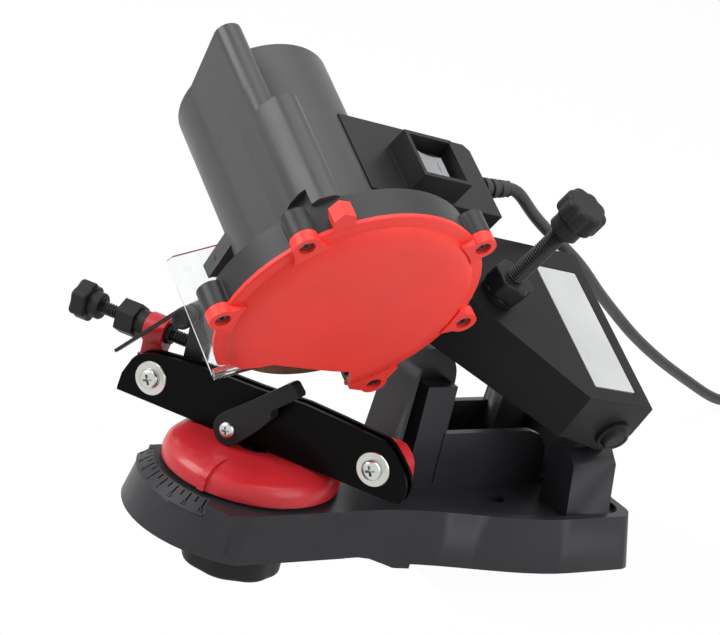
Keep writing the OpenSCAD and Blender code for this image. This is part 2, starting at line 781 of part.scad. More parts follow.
module stop_bracket() {
    color([0.06, 0.06, 0.065]) on_vise() difference() {
        union() {
            translate([bracket_x, 0, 0]) along_x(0, bracket_w) polygon([
                [stop_y - 3.5, beam_low + 0.5], [stop_y - 3.5, pawl_z + 3], [stop_y + 3.5, pawl_z + 3],
                [stop_y + 3.5, beam_low + 0.5],
            ]);
            along_y(pawl_x, pawl_z, pawl_y + slack, stop_y + 3.5, 4.5);
        }
        translate([0, stop_y, stop_z]) bar_x(bracket_x - 1, stop_to + slack, stop_r + run_fit);
        along_y(pawl_x, pawl_z, -5, 40, 2 + run_fit);
    }
}

module pawl_pin() {
    color([0.6, 0.61, 0.62]) on_vise() along_y(pawl_x, pawl_z, pawl_y - 6, stop_y + 3, 2);
}

pawl_w = 5;

module pawl() {
    color([0.12, 0.12, 0.12]) on_vise() difference() {
        union() {
            along_y(pawl_x, pawl_z, pawl_y - pawl_w, pawl_y, 4);
            translate([pawl_x, pawl_y, pawl_z]) rotate([90, 0, 0]) linear_extrude(pawl_w)
                rotate(228) translate([0, -4.9]) square([40, 1.5]);
        }
        along_y(pawl_x, pawl_z, -40, 40, 2 + run_fit);
    }
}

module pawl_knob() {
    color([0.08, 0.08, 0.085]) on_vise() difference() {
        along_y(pawl_x, pawl_z, pawl_y - pawl_w - 4.5, pawl_y - pawl_w, 4.6);
        along_y(pawl_x, pawl_z, pawl_y - 6 - slack, 40, 2 + run_fit);
    }
}

// ---------- head arm ----------

plate_t = 0.8;
plate_mid = [4, 51];

// Plan of the arm along the spindle and back, drawn in by an inset.
module arm_plan(inset) {
    e = inset;
    polygon([
        [arm_near - e, 117 + e * 0.4], [arm_near - e, 158 - e], [arm_near - 3 - e, 160 - e], [arm_far + 3 + e, 160 - e],
        [arm_far + e, 158 - e], [arm_far + e, 30], [-16, 30], [-7 - e, 61.5 + e], [14, 84 + 1.4 * e],
    ]);
}

// Side view of the arm with a boss round the hinge.
module arm_side(inset, low) {
    e = inset;
    slope = tan(deck_slope);
    y0 = 24;
    top0 = scr[1] + (scr[0] - y0) * slope;
    top1 = scr[1] + (scr[0] - 157) * slope;
    union() {
        polygon([
            [y0, top0 - e], [157 - e, top1 - e], [160 - e, top1 - 3 - e],
            [pin_at[0] + 12 - e, pin_at[1] + 2], [pin_at[0] + 8.5 - e, pin_at[1] - 8 - low],
            [pin_at[0] - 3, pin_at[1] - 11.5 - low], [pin_at[0] - 26, pin_at[1] - 1.5 - low],
            [60, -38 - low], [y0, -36 - low],
        ]);
        translate(pin_at) circle(12 - e);
    }
}

module head_arm() {
    color([0.13, 0.13, 0.14]) on_head() difference() {
        intersection() {
            along_x(arm_far, arm_near) arm_side(0, 0);
            translate([0, 0, -80]) linear_extrude(120) arm_plan(0);
        }
        intersection() {
            along_x(arm_far, arm_near) arm_side(arm_wall, 20);
            translate([0, 0, -100]) linear_extrude(140) arm_plan(arm_wall);
            translate([-100, 66, -100]) cube([200, 200, 200]);
        }
        translate([0, -motor_off, 0]) bar_x(-90, 5, motor_r + eps);
        bar_x(-guard_back - eps, 40, guard_r + slack);
        translate([0, pin_at[0], pin_at[1]]) bar_x(-60, 60, pin_r + run_fit);
        on_deck() translate([plate_mid[0] - plate_l / 2, plate_mid[1] - plate_w / 2, -plate_t])
            cube([plate_l, plate_w, 5]);
        on_deck() translate([screw_w, 0, -20]) cylinder(h = 40, r = 6);
        // room under the switch box
        intersection() {
            on_box() translate([-100, -40, -sbox_h]) cube([100 + sbox_near, 40 + sbox_len, 60]);
            translate([-100, 0, -30]) cube([100 + sbox_near, 86.4, 90]);
        }
    }
    // boss for the screw's insert
    color([0.13, 0.13, 0.14]) on_head() on_deck() difference() {
        translate([screw_w, 0, -14]) cylinder(h = 14 - arm_wall / 2, r = 9.5);
        translate([screw_w, 0, -20]) cylinder(h = 40, r = 6);
    }
}

module rating_plate() {
    color([0.8, 0.8, 0.8]) on_head() on_deck()
        translate([plate_mid[0] - plate_l / 2 + 0.5, plate_mid[1] - plate_w / 2 + 0.5, -plate_t])
        cube([plate_l - 1, plate_w - 1, plate_t]);
}

// ---------- depth stop ----------

module depth_insert() {
    color([0.75, 0.6, 0.3]) on_head() on_deck() translate([screw_w, 0, -14]) difference() {
        cylinder(h = 14, r = 6);
        translate([0, 0, -1]) cylinder(h = 20, r = screw_r + run_fit);
    }
}

module depth_screw() {
    color([0.1, 0.1, 0.1]) on_head() on_deck() translate([screw_w, 0, -screw_reach])
        cylinder(h = screw_reach + screw_rise - 4, r = screw_r);
}

module depth_knob() {
    color([0.08, 0.08, 0.085]) on_head() on_deck() translate([screw_w, 0, screw_rise]) difference() {
        union() {
            linear_extrude(11) flutes(dknob_r, 8, 0.9);
            translate([0, 0, -7]) cylinder(h = 7 + eps, r = 7);
        }
        translate([0, 0, -8]) cylinder(h = 4, r = screw_r);
    }
}

module depth_lock_nut() {
    color([0.08, 0.08, 0.085]) on_head() on_deck() translate([screw_w, 0, slack]) difference() {
        union() {
            cylinder(h = 3, r = 8.5);
            translate([0, 0, 3 - eps]) linear_extrude(9) lobes(10, 6, 1.6);
        }
        translate([0, 0, -1]) cylinder(h = 20, r = screw_r + run_fit);
    }
}

// ---------- motor ----------

ridge = [-32, 37.7];
ridge_r = 6;
fin = [-27, 46];

// Cross-section of the square shoulder on the round motor housing.
module shoulder_section() {
    polygon(concat(
        [[-20, 0], [-motor_off - motor_r + 1.5, -4]],
        [for (a = [180 : -20 : 0]) [ridge[0] + ridge_r * cos(a), ridge[1] + ridge_r * sin(a)]],
        [[ridge[0] + ridge_r + 1, 18]]
    ));
}

// The taller ridge next to the guard.
module fin_section() {
    polygon(concat(
        [[-20, 10], [ridge[0] - ridge_r + 0.4, ridge[1] - 12], [ridge[0] - ridge_r + 0.2, 38], [-37, 43.5], [-33.5, 49.5]],
        [for (a = [130 : -20 : 10]) [fin[0] + ridge_r * cos(a), fin[1] + ridge_r * sin(a)]],
        [[-20.8, 30], [-17, 20]]
    ));
}

module motor_body(x0, x1) {
    translate([0, -motor_off, 0]) bar_x(x0, x1, motor_r);
    along_x(x0, x1) shoulder_section();
}

bore_r = motor_r - shell;
front_wall = -22;

module motor_housing() {
    color([0.2, 0.2, 0.21]) on_head() difference() {
        union() {
            motor_body(seam_w, -guard_back);
            along_x(fin_w, -guard_back) fin_section();
            // ribs that carry the clear plate
            for (x = visor_ribs) along_x(x - 3.5, x + 3.5)
                polygon([[-37.5, -38.68], [-22.5, -32], [-20, -26], [-31, -11]]);
        }
        translate([0, -motor_off, 0]) bar_x(seam_w - 1, front_wall, bore_r);
        bar_x(front_wall - 1, 0, spindle_r + 3);
        bar_x(-19, -12, 11);
        bar_x(-12 - eps, 0, 8);
        on_visor() translate([-60, -40, -10]) cube([70, 60, 10]);
        on_visor() for (x = visor_ribs) translate([x, -6, -1]) cylinder(h = 9.5, r = 1.5 + run_fit);
        ear_place(ear_angles[1]) bar_x(-14, 0, ear_r + 2.7);
    }
}

module motor_cap() {
    color([0.2, 0.2, 0.21]) on_head() difference() {
        motor_body(cap_w, seam_w);
        translate([0, -motor_off, 0]) bar_x(cap_w + shell + 12, seam_w + 1, bore_r);
        bar_x(cap_w + shell, seam_w, 11);
        // air slots in the end
        for (i = [0 : 5]) rotate([i * 60 + 30, 0, 0]) translate([cap_w - 1, 15, -2]) cube([shell + 14, 11, 4]);
    }
}

module front_bearing() {
    color([0.7, 0.7, 0.72]) on_head() difference() {
        bar_x(-19, -12, 11);
        bar_x(-20, -11, spindle_r + run_fit);
    }
}

module rear_bearing() {
    color([0.7, 0.7, 0.72]) on_head() difference() {
        bar_x(cap_w + shell + 1, cap_w + shell + 8, 11);
        bar_x(cap_w, cap_w + 30, spindle_r + run_fit);
    }
}

module field_ring() {
    color([0.45, 0.45, 0.47]) on_head() difference() {
        translate([0, -motor_off, 0]) bar_x(-68, -34, bore_r);
        bar_x(-69, -33, 23);
    }
}

module brush_holders() {
    color([0.5, 0.35, 0.15]) on_head() for (s = [-1, 1])
        translate([-82, s * 17.5 - 5.5, -3]) cube([9, 11, 6]);
    color([0.5, 0.35, 0.15]) on_head() {
        translate([-82, 22.9, -1.5]) cube([9, bore_r - motor_off - 23.3, 3]);
        translate([-82, 0.4 - motor_off - bore_r, -1.5]) cube([9, bore_r + motor_off - 23.3, 3]);
    }
}

module spindle() {
    color([0.75, 0.76, 0.78]) on_head() bar_x(cap_w + shell + 1.5, 10, spindle_r);
}

module rotor() {
    color([0.6, 0.35, 0.2]) on_head() difference() {
        union() {
            bar_x(-66, -36, 22);
            bar_x(-84, -70, 11);
            bar_x(-70 - eps, -66 + eps, 9);
        }
        bar_x(-90, 0, spindle_r);
    }
}

module fan() {
    color([0.15, 0.15, 0.15]) on_head() difference() {
        union() {
            bar_x(-32, -30, 26);
            bar_x(-32, -25, 8);
            for (i = [0 : 8]) rotate([i * 40, 0, 0]) translate([-30 - eps, 10, -0.8]) cube([5, 15, 1.6]);
        }
        bar_x(-40, 0, spindle_r);
    }
}

// ---------- wheel ----------

module grinding_wheel() {
    color([0.28, 0.16, 0.12]) on_head() difference() {
        turned_x([
            [0, -wheel_t / 2], [wheel_r - 1, -wheel_t / 2], [wheel_r, -wheel_t / 2 + 1],
            [wheel_r, wheel_t / 2 - 1], [wheel_r - 1, wheel_t / 2], [0, wheel_t / 2],
        ]);
        bar_x(-5, 5, wheel_bore);
    }
}

flange_t = 2.4;

module flange(x0, x1, hub0, hub1) {
    difference() {
        union() {
            bar_x(x0, x1, flange_r);
            bar_x(hub0, hub1, wheel_bore);
        }
        bar_x(-10, 12, spindle_r);
    }
}

module inner_flange() {
    color([0.7, 0.7, 0.72]) on_head() flange(-wheel_t / 2 - flange_t, -wheel_t / 2, -wheel_t / 2, wheel_t / 2 - 0.6);
}

module outer_flange() {
    color([0.7, 0.7, 0.72]) on_head() difference() {
        bar_x(wheel_t / 2, wheel_t / 2 + flange_t, flange_r);
        bar_x(0, 12, spindle_r);
    }
}

module wheel_nut() {
    nut0 = wheel_t / 2 + flange_t;
    color([0.6, 0.61, 0.62]) on_head() difference() {
        translate([nut0, 0, 0]) rotate([0, 90, 0]) cylinder(h = 5, r = 7.5, $fn = 6);
        bar_x(0, 12, spindle_r);
    }
}

// ---------- guard and cover ----------

ear_angles = [183, 135.5, 46, -5.5, -53];
ear_ring = guard_r + ear_out;

// To a screw ear at an angle round the spindle.
module ear_place(a) {
    rotate([a, 0, 0]) translate([0, ear_ring, 0]) children();
}

// Screw ears blended into the rim; the lowest one can be joined to the mouth's corner.
module ears(x0, x1, joined) {
    for (a = ear_angles) ear_place(a) {
        bar_x(x0, x1, ear_r);
        if (!joined || a != ear_angles[4]) along_x(x0, x1)
            polygon([[0, ear_r * 0.8], [-9, ear_r + 3], [-9, -ear_r - 3], [0, -ear_r * 0.8]]);
    }
    if (joined) along_x(x0, x1) polygon([[20, -45], [20, -49.5], [34, -52], [40, -46], [42, -36], [30, -36]]);
}

// What is left open below, so that the wheel reaches the chain.
module mouth() {
    polygon([[-90, -50], [-47, -36.5], [-24, -29.5], [7, -34.7], [16.8, -35.6], [24.8, -49.4], [26, -90], [-90, -90]]);
}

module wheel_guard() {
    color([0.15, 0.15, 0.16]) on_head() difference() {
        union() {
            difference() {
                bar_x(-guard_back, guard_half, guard_r);
                bar_x(-guard_back + shell - 0.5, guard_half + 1, guard_r - shell);
                bar_x(-20, 0, 8);
            }
            difference() {
                ears(-4, guard_half - 0.2, false);
                bar_x(-20, 20, guard_r - 1);
            }
        }
        along_x(-30, 30) mouth();
        for (a = ear_angles) ear_place(a) bar_x(-2, 20, 1.6);
    }
}

module wheel_cover() {
    top = guard_half + cover_rise;
    r1 = guard_r - 4;
    color([0.9, 0.2, 0.17]) on_head() difference() {
        union() {
            difference() {
                turned_x([
                    [0, guard_half], [guard_r + 0.8, guard_half], [guard_r + 0.8, guard_half + 1.6],
                    [guard_r, guard_half + 2.4], [r1, guard_half + 2.8], [r1 - 1.2, top - 3], [r1 - 4, top - 1.2],
                    [r1 - 10, top - 0.4], [0, top],
                ]);
                turned_x([
                    [0, guard_half - 1], [guard_r - shell, guard_half - 1], [guard_r - shell, guard_half + 0.4],
                    [r1 - 2, guard_half + 0.8], [r1 - 3.2, top - 4.6], [r1 - 10, top - 2.4], [0, top - 2],
                ]);
            }
            difference() {
                ears(guard_half, guard_half + 5, true);
                bar_x(0, guard_half + 5.5, r1 - 0.4);
                bar_x(0, guard_half + 0.6, guard_r - shell + 1.2);
            }
            // gabled tab that laps the guard's rim
            rotate([119, 0, 0]) translate([0, guard_r + slack, 0]) along_x(guard_half - 5, guard_half + 2.2)
                polygon([[0, -4.5], [6.5, -4.5], [10, 0], [6.5, 4.5], [0, 4.5]]);
        }
        along_x(-30, 30) mouth();
        for (a = ear_angles) ear_place(a) {
            bar_x(0, 40, 1.9);
            bar_x(guard_half + 2, 40, 3.4);
        }
    }
}

module cover_screws() {
    color([0.6, 0.61, 0.62]) on_head() for (a = ear_angles) ear_place(a) {
        bar_x(-1.5, guard_half + 2 + eps, 1.55);
        bar_x(guard_half + 2, guard_half + 4, 3);
    }
}

visor_t = 1.6;
visor_slope = 24;
visor_len = 24.6;
visor_ribs = [-40, -14];

// Top face of the clear plate, at its rear edge.
module on_visor() {
    translate([0, -22.5, -32]) rotate([visor_slope, 0, 0]) children();
}

module visor() {
    color([0.85, 0.9, 0.92, 0.4]) on_head() difference() {
        on_visor() translate([-52, -visor_len, -visor_t]) cube([guard_half + 56, visor_len, visor_t]);
        translate([-57, -50, -50]) rotate([0, 0, 25]) cube([8, 12, 20]);
        bar_x(-wheel_t / 2 - 3, wheel_t / 2 + 3, wheel_r + 2);
        on_visor() for (x = visor_ribs) translate([x, -6, -5]) cylinder(h = 10, r = 1.5 + run_fit);
    }
}

module visor_screws() {
    color([0.6, 0.61, 0.62]) on_head() on_visor() for (x = visor_ribs) {
        translate([x, -6, -visor_t - 1.8]) cylinder(h = 1.8, r = 3);
        translate([x, -6, -visor_t - eps]) cylinder(h = visor_t + 8, r = 1.5);
    }
}

// ---------- switch ----------

hood_at = [-43.7, 30.5];

module switch_box() {
    color([0.13, 0.13, 0.14]) on_head() on_box() difference() {
        union() {
            difference() {
                translate([sbox_far, -6, -sbox_h]) cube([sbox_near - sbox_far, sbox_len + 6, sbox_h]);
                translate([sbox_far, sbox_len - 3, -sbox_h - 1]) rotate([0, 0, 45]) cube([12, 12, 40]);
            }
            translate([hood_at[0] - hood_w / 2, hood_at[1] - hood_l / 2, -eps]) cube([hood_w, hood_l, hood_h]);
        }
        translate([hood_at[0] - hood_w / 2 + 2, hood_at[1] - hood_l / 2 + 2, -0.5]) cube([hood_w - 4, hood_l - 4, 20]);
        translate([hood_at[0] - 7, hood_at[1] - 10, -sbox_h + 2]) cube([14, 20, 20]);
        rotate([deck_slope, 0, 0]) translate([0, -16 - motor_off, -31]) bar_x(-90, 10, motor_r);
        rotate([deck_slope, 0, 0]) translate([gland_w, relief_from - 16 - 9, gland_u - 31]) rotate([-90, 0, 0])
            cylinder(h = 30, r = 4 + run_fit);
    }
}

module switch_body() {
    color([0.05, 0.05, 0.05]) on_head() on_box() translate([hood_at[0], hood_at[1], 0]) difference() {
        union() {
            translate([-7, -10, -sbox_h + 2]) cube([14, 20, sbox_h - 2]);
            for (s = [-1, 1]) translate([s > 0 ? 6.6 : -8.1, -11, -0.5 + eps]) cube([1.5, 22, 5]);
        }
        translate([-6.4, -9, -4]) cube([12.8, 18, 20]);
        translate([0, 0, 1]) rotate([0, 90, 0]) cylinder(h = 30, r = 1 + run_fit, center = true);
    }
}

module rocker() {
    color([0.45, 0.46, 0.48]) on_head() on_box() translate([hood_at[0], hood_at[1], 1]) {
        rotate([0, 90, 0]) cylinder(h = 15, r = 1, center = true);
        rotate([-6, 0, 0]) translate([-6.1, 0, 0]) along_x(0, 12.2)
            polygon([[-3, -2.5], [3, -2.5], [8.2, 1], [8.6, 6], [0, 5], [-8.6, 6], [-8.2, 1]]);
    }
}

// ---------- mains lead ----------

gland_w = -52;
gland_u = 7.2;
relief_from = 85;
relief_l = 20;

module strain_relief() {
    color([0.08, 0.08, 0.085]) on_head() translate([gland_w, relief_from, gland_u]) rotate([-90, 0, 0]) difference() {
        union() {
            translate([0, 0, -6]) cylinder(h = 6 + eps, r = 4);
            cylinder(h = relief_l, r1 = 5.4, r2 = 3.6);
        }
        for (i = [0 : 3]) translate([0, 0, 4 + 4.5 * i]) difference() {
            cylinder(h = 1.6, r = 9);
            translate([0, 0, -1]) cylinder(h = 4, r = 3.4);
        }
    }
}

// Route of the lead, from the strain relief down to the bench and the coil.
lead_route = [
    [-7.2, -4.96, 153.5], [-7.2, -2.6, 153.5], [-7.8, 2, 151.5], [-9, 8, 146.5], [-11, 15, 140.8],
    [-14, 24, 134.6], [-19, 40, 124.5], [-23, 57, 114], [-29, 72, 103.4], [-35, 86, 92.6], [-42, 103, 81],
    [-48, 119, 70], [-54, 135, 59.4], [-62, 159, 45.3], [-68, 177, 35.6], [-74, 195, 26.5], [-80, 212, 17.8],
    [-86, 228, 10], [-91, 243, 4.8], [-94.5, 258, 3.0], [-96.6, 275, 2.9], [-97, 292, 2.9],
];

module mains_lead() {
    color([0.2, 0.2, 0.21]) tube_along(lead_route, lead_r, 10);
}

coil_at = [-60, 292];
coil_in = 22;
coil_out = 33.8;
coil_h = 23.2;
coil_edge = 2.5;

module lead_coil() {
    color([0.2, 0.2, 0.21]) translate([coil_at[0], coil_at[1], 0.1]) rotate_extrude() polygon([
        [coil_in, coil_edge], [coil_in + coil_edge, 0], [coil_out - coil_edge, 0], [coil_out, coil_edge],
        [coil_out, coil_h - coil_edge], [coil_out - coil_edge, coil_h], [coil_in + coil_edge, coil_h],
        [coil_in, coil_h - coil_edge],
    ]);
}

plug_at = [-23.4, 253];
plug_t = 13.7;
pin_gap = 18.6;

// Last length of the lead, down the coil's side to the plug beside it.
tail_ring = 36.8;
tail_route = concat(
    [for (a = [75 : -15 : 15]) [coil_at[0] + tail_ring * cos(a), coil_at[1] + tail_ring * sin(a), 2.9 + 8 * pow(a / 75, 2)]],
    [[-23.2, 292, 2.9], [-23.2, 286, 3.1], [-23.3, 281.5, 3.8], [-23.4, 277.5, 5], [-23.4, 273.6, 6.9], [-23.4, 270.05, 6.9]]
);

module lead_tail() {
    color([0.2, 0.2, 0.21]) tube_along(tail_route, lead_r, 10);
}

// Flat two-pin plug with a tapered sleeve round the lead.
module at_plug() {
    translate([plug_at[0], plug_at[1], plug_t / 2 + 0.05]) rotate([0, 0, 180]) children();
}

module mains_plug() {
    color([0.2, 0.2, 0.21]) at_plug() difference() {
        union() {
            translate([0, 0, -plug_t / 2]) linear_extrude(plug_t) polygon([
                [-6, 0], [6, 0], [12.5, 9], [17.6, 20], [17.6, 34], [16, 36], [-16, 36], [-17.6, 34], [-17.6, 20],
                [-12.5, 9],
            ]);
            translate([0, -17, 0]) rotate([-90, 0, 0]) cylinder(h = 18, r1 = 3.6, r2 = 5.6);
        }
        for (s = [-1, 1]) translate([s * pin_gap / 2, 26, 0]) rotate([-90, 0, 0]) cylinder(h = 20, r = 2);
    }
}

module plug_pins() {
    color([0.75, 0.6, 0.3]) at_plug() for (s = [-1, 1]) translate([s * pin_gap / 2, 26, 0]) rotate([-90, 0, 0])
        cylinder(h = 29, r = 2);
}

base_casting();
hinge_pin();
hinge_cap();
hinge_nut();
return_spring();
turntable();
front_jaw();
jaw_screws();
jaw_washers();
rear_jaw();
clamp_bolt();
clamp_lever();
lever_screw();
lock_bolt();
lock_washer();
lock_knob();
lock_insert();
stop_carrier();
stop_bush();
stop_screw();
stop_knob();
stop_bracket();
pawl_pin();
pawl();
pawl_knob();
head_arm();
rating_plate();
motor_housing();
motor_cap();
wheel_guard();
wheel_cover();
cover_screws();
visor();
visor_screws();
front_bearing();
rear_bearing();
field_ring();
brush_holders();
spindle();
rotor();
fan();
inner_flange();
grinding_wheel();
outer_flange();
wheel_nut();
switch_box();
switch_body();
rocker();
strain_relief();
depth_insert();
depth_screw();
depth_knob();
depth_lock_nut();
mains_lead();
lead_coil();
lead_tail();
mains_plug();
plug_pins();
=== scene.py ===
"""Bench sharpener for saw chains, dressed for show.

Each sub-assembly is a class. A shape is made in millimetres in the frame of
what carries it, and is turned into metres in the row frame when it is done.
"""

import json
import logging
import math
from collections.abc import Callable, Sequence
from dataclasses import dataclass, replace
from enum import Enum
from functools import cache

import bmesh
import bpy
from mathutils import Matrix, Vector


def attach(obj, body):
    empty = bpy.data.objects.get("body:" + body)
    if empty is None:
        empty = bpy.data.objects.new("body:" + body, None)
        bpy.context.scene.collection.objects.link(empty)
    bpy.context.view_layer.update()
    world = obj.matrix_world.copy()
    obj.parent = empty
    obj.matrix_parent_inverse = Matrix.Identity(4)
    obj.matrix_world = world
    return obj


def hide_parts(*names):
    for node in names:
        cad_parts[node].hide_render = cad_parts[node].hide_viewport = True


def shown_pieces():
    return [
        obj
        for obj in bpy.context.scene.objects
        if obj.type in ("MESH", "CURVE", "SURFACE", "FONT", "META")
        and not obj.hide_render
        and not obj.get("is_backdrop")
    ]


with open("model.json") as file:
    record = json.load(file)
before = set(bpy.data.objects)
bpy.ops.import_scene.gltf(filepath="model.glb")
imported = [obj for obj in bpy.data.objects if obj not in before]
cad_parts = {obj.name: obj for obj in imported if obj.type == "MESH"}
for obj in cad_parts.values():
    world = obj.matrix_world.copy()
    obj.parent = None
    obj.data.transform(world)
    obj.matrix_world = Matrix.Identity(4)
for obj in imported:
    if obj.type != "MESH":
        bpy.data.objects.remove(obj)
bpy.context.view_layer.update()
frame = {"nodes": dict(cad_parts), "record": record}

LOG = logging.getLogger("sharpener")
MM = Matrix.Scale(0.001, 4)
HERE = Matrix.Identity(4)


def shift(x: float, y: float, z: float) -> Matrix:
    """A move in millimetres."""
    return Matrix.Translation((x, y, z))


def turn(axis: str, degrees: float) -> Matrix:
    """A turn round the X, Y or Z axis."""
    return Matrix.Rotation(math.radians(degrees), 4, axis)


TO_X = turn("Y", 90)
TO_Y = turn("X", -90)
FACE_Y = turn("X", 90)
PROFILE_X = turn("Z", 90) @ turn("X", 90)
TABLE_Y = -110.0
VISE_TURN = 32.0
HEAD_TILT = 28.0
DECK_SLOPE = -12.5
VISOR_SLOPE = 24.0
TABLE = shift(0, TABLE_Y, 0)
VISE = shift(0, TABLE_Y, 26) @ turn("Z", VISE_TURN)
HEAD = shift(35.4, TABLE_Y, 122.7) @ turn("Y", HEAD_TILT)
DECK = HEAD @ shift(0, 87.5, -9.6) @ turn("X", DECK_SLOPE)
BOX = HEAD @ shift(0, 16, 31) @ turn("X", DECK_SLOPE)
PIN = HEAD @ shift(0, 146, -43)
VISOR = HEAD @ shift(0, -22.5, -32) @ turn("X", VISOR_SLOPE)
PLUG = shift(-23.4, 253, 6.9) @ turn("Z", 180)

# Edges that meet at more than this many degrees stay sharp in shading.
SHARP = 34.0
# Faces of a solid that meet at less than this many degrees are one.
FLAT = 0.6
# Points closer than this many millimetres are one, in a new shape and in a solid.
JOINED = 0.001
WELDED = 0.004

Triple = tuple[float, float, float]
Outline = Sequence[tuple[float, float]]


# ---------- finishes ----------


class Wire:
    """A value on its way through a material, with arithmetic as Math nodes."""

    def __init__(self, bench: "Bench", socket: bpy.types.NodeSocket) -> None:
        """Keeps the bench that the nodes stand on, and the socket."""
        self.bench = bench
        self.socket = socket

    def _math(self, kind: str, first: "Wire | float", second: "Wire | float") -> "Wire":
        """Joins two values by one Math node."""
        return self.bench.node("ShaderNodeMath", {"operation": kind}, {0: first, 1: second})

    def __add__(self, other: "Wire | float") -> "Wire":
        """Sum."""
        return self._math("ADD", self, other)

    def __rsub__(self, other: float) -> "Wire":
        """Difference, number first."""
        return self._math("SUBTRACT", other, self)

    def __mul__(self, other: "Wire | float") -> "Wire":
        """Product."""
        return self._math("MULTIPLY", self, other)


class Bench:
    """The node tree of a material or a world."""

    def __init__(self, owner: bpy.types.Material | bpy.types.World) -> None:
        """Empties the tree."""
        self.owner = owner
        owner.use_nodes = True
        self.tree = owner.node_tree
        self.tree.nodes.clear()

    def node(self, kind: str, settings: dict, inputs: dict, output: int | str = 0) -> Wire:
        """Adds a node.

        Args:
            kind: The node's type.
            settings: Its own properties, set first.
            inputs: Socket to a value, or to a wire that feeds it.
            output: The socket that is read from it.

        Returns:
            The wire that leaves it.
        """
        made = self.tree.nodes.new(kind)
        for key, value in settings.items():
            if key == "stops":
                ramp = made.color_ramp
                while len(ramp.elements) < len(value):
                    ramp.elements.new(0.5)
                for stop, (place, colour) in zip(ramp.elements, value):
                    stop.position = place
                    stop.color = colour
            else:
                setattr(made, key, value)
        for key, value in inputs.items():
            if isinstance(value, Wire):
                self.tree.links.new(value.socket, made.inputs[key])
            else:
                made.inputs[key].default_value = value
        return Wire(self, made.outputs[output])

    def noise(self, where: Wire, size: float, detail: float = 2.0, rough: float = 0.5) -> Wire:
        """Cloudy pattern whose lumps are about the given size in millimetres."""
        inputs = {"Vector": where, "Scale": 1000.0 / size, "Detail": detail, "Roughness": rough}
        return self.node("ShaderNodeTexNoise", {}, inputs)

    def spread(self, value: Wire, low: float, high: float, start: float = 0.3, end: float = 0.7) -> Wire:
        """Stretches a pattern from start to end over low to high."""
        inputs = {0: value, 1: start, 2: end, 3: low, 4: high}
        return self.node("ShaderNodeMapRange", {"clamp": True}, inputs)

    def blend(self, factor: Wire | float, first: object, second: object) -> Wire:
        """Mixes two colours."""
        return self.node("ShaderNodeMix", {"data_type": "RGBA"}, {0: factor, 6: first, 7: second}, 2)

    def bump(self, height: Wire, distance: float) -> Wire:
        """Relief of the given height in millimetres."""
        inputs = {"Strength": 1.0, "Distance": distance * 0.001, "Height": height}
        return self.node("ShaderNodeBump", {}, inputs)

    def close(self, shader: Wire, kind: str = "Material") -> None:
        """Joins a shader to the output of the material or the world."""
        out = self.tree.nodes.new(f"ShaderNodeOutput{kind}")
        self.tree.links.new(shader.socket, out.inputs["Surface"])


class Texture(Enum):
    """How a finish is broken up close to."""

    SPARK = "fine moulded grain"
    ENAMEL = "thick enamel"
    POWDER = "powder coat"
    TURNED = "fine tool marks"
    PLATED = "bright plating"
    GRIT = "bonded grit"
    SHEATH = "soft sheath"
    SHEET = "clear sheet"
    FILM = "printed film"


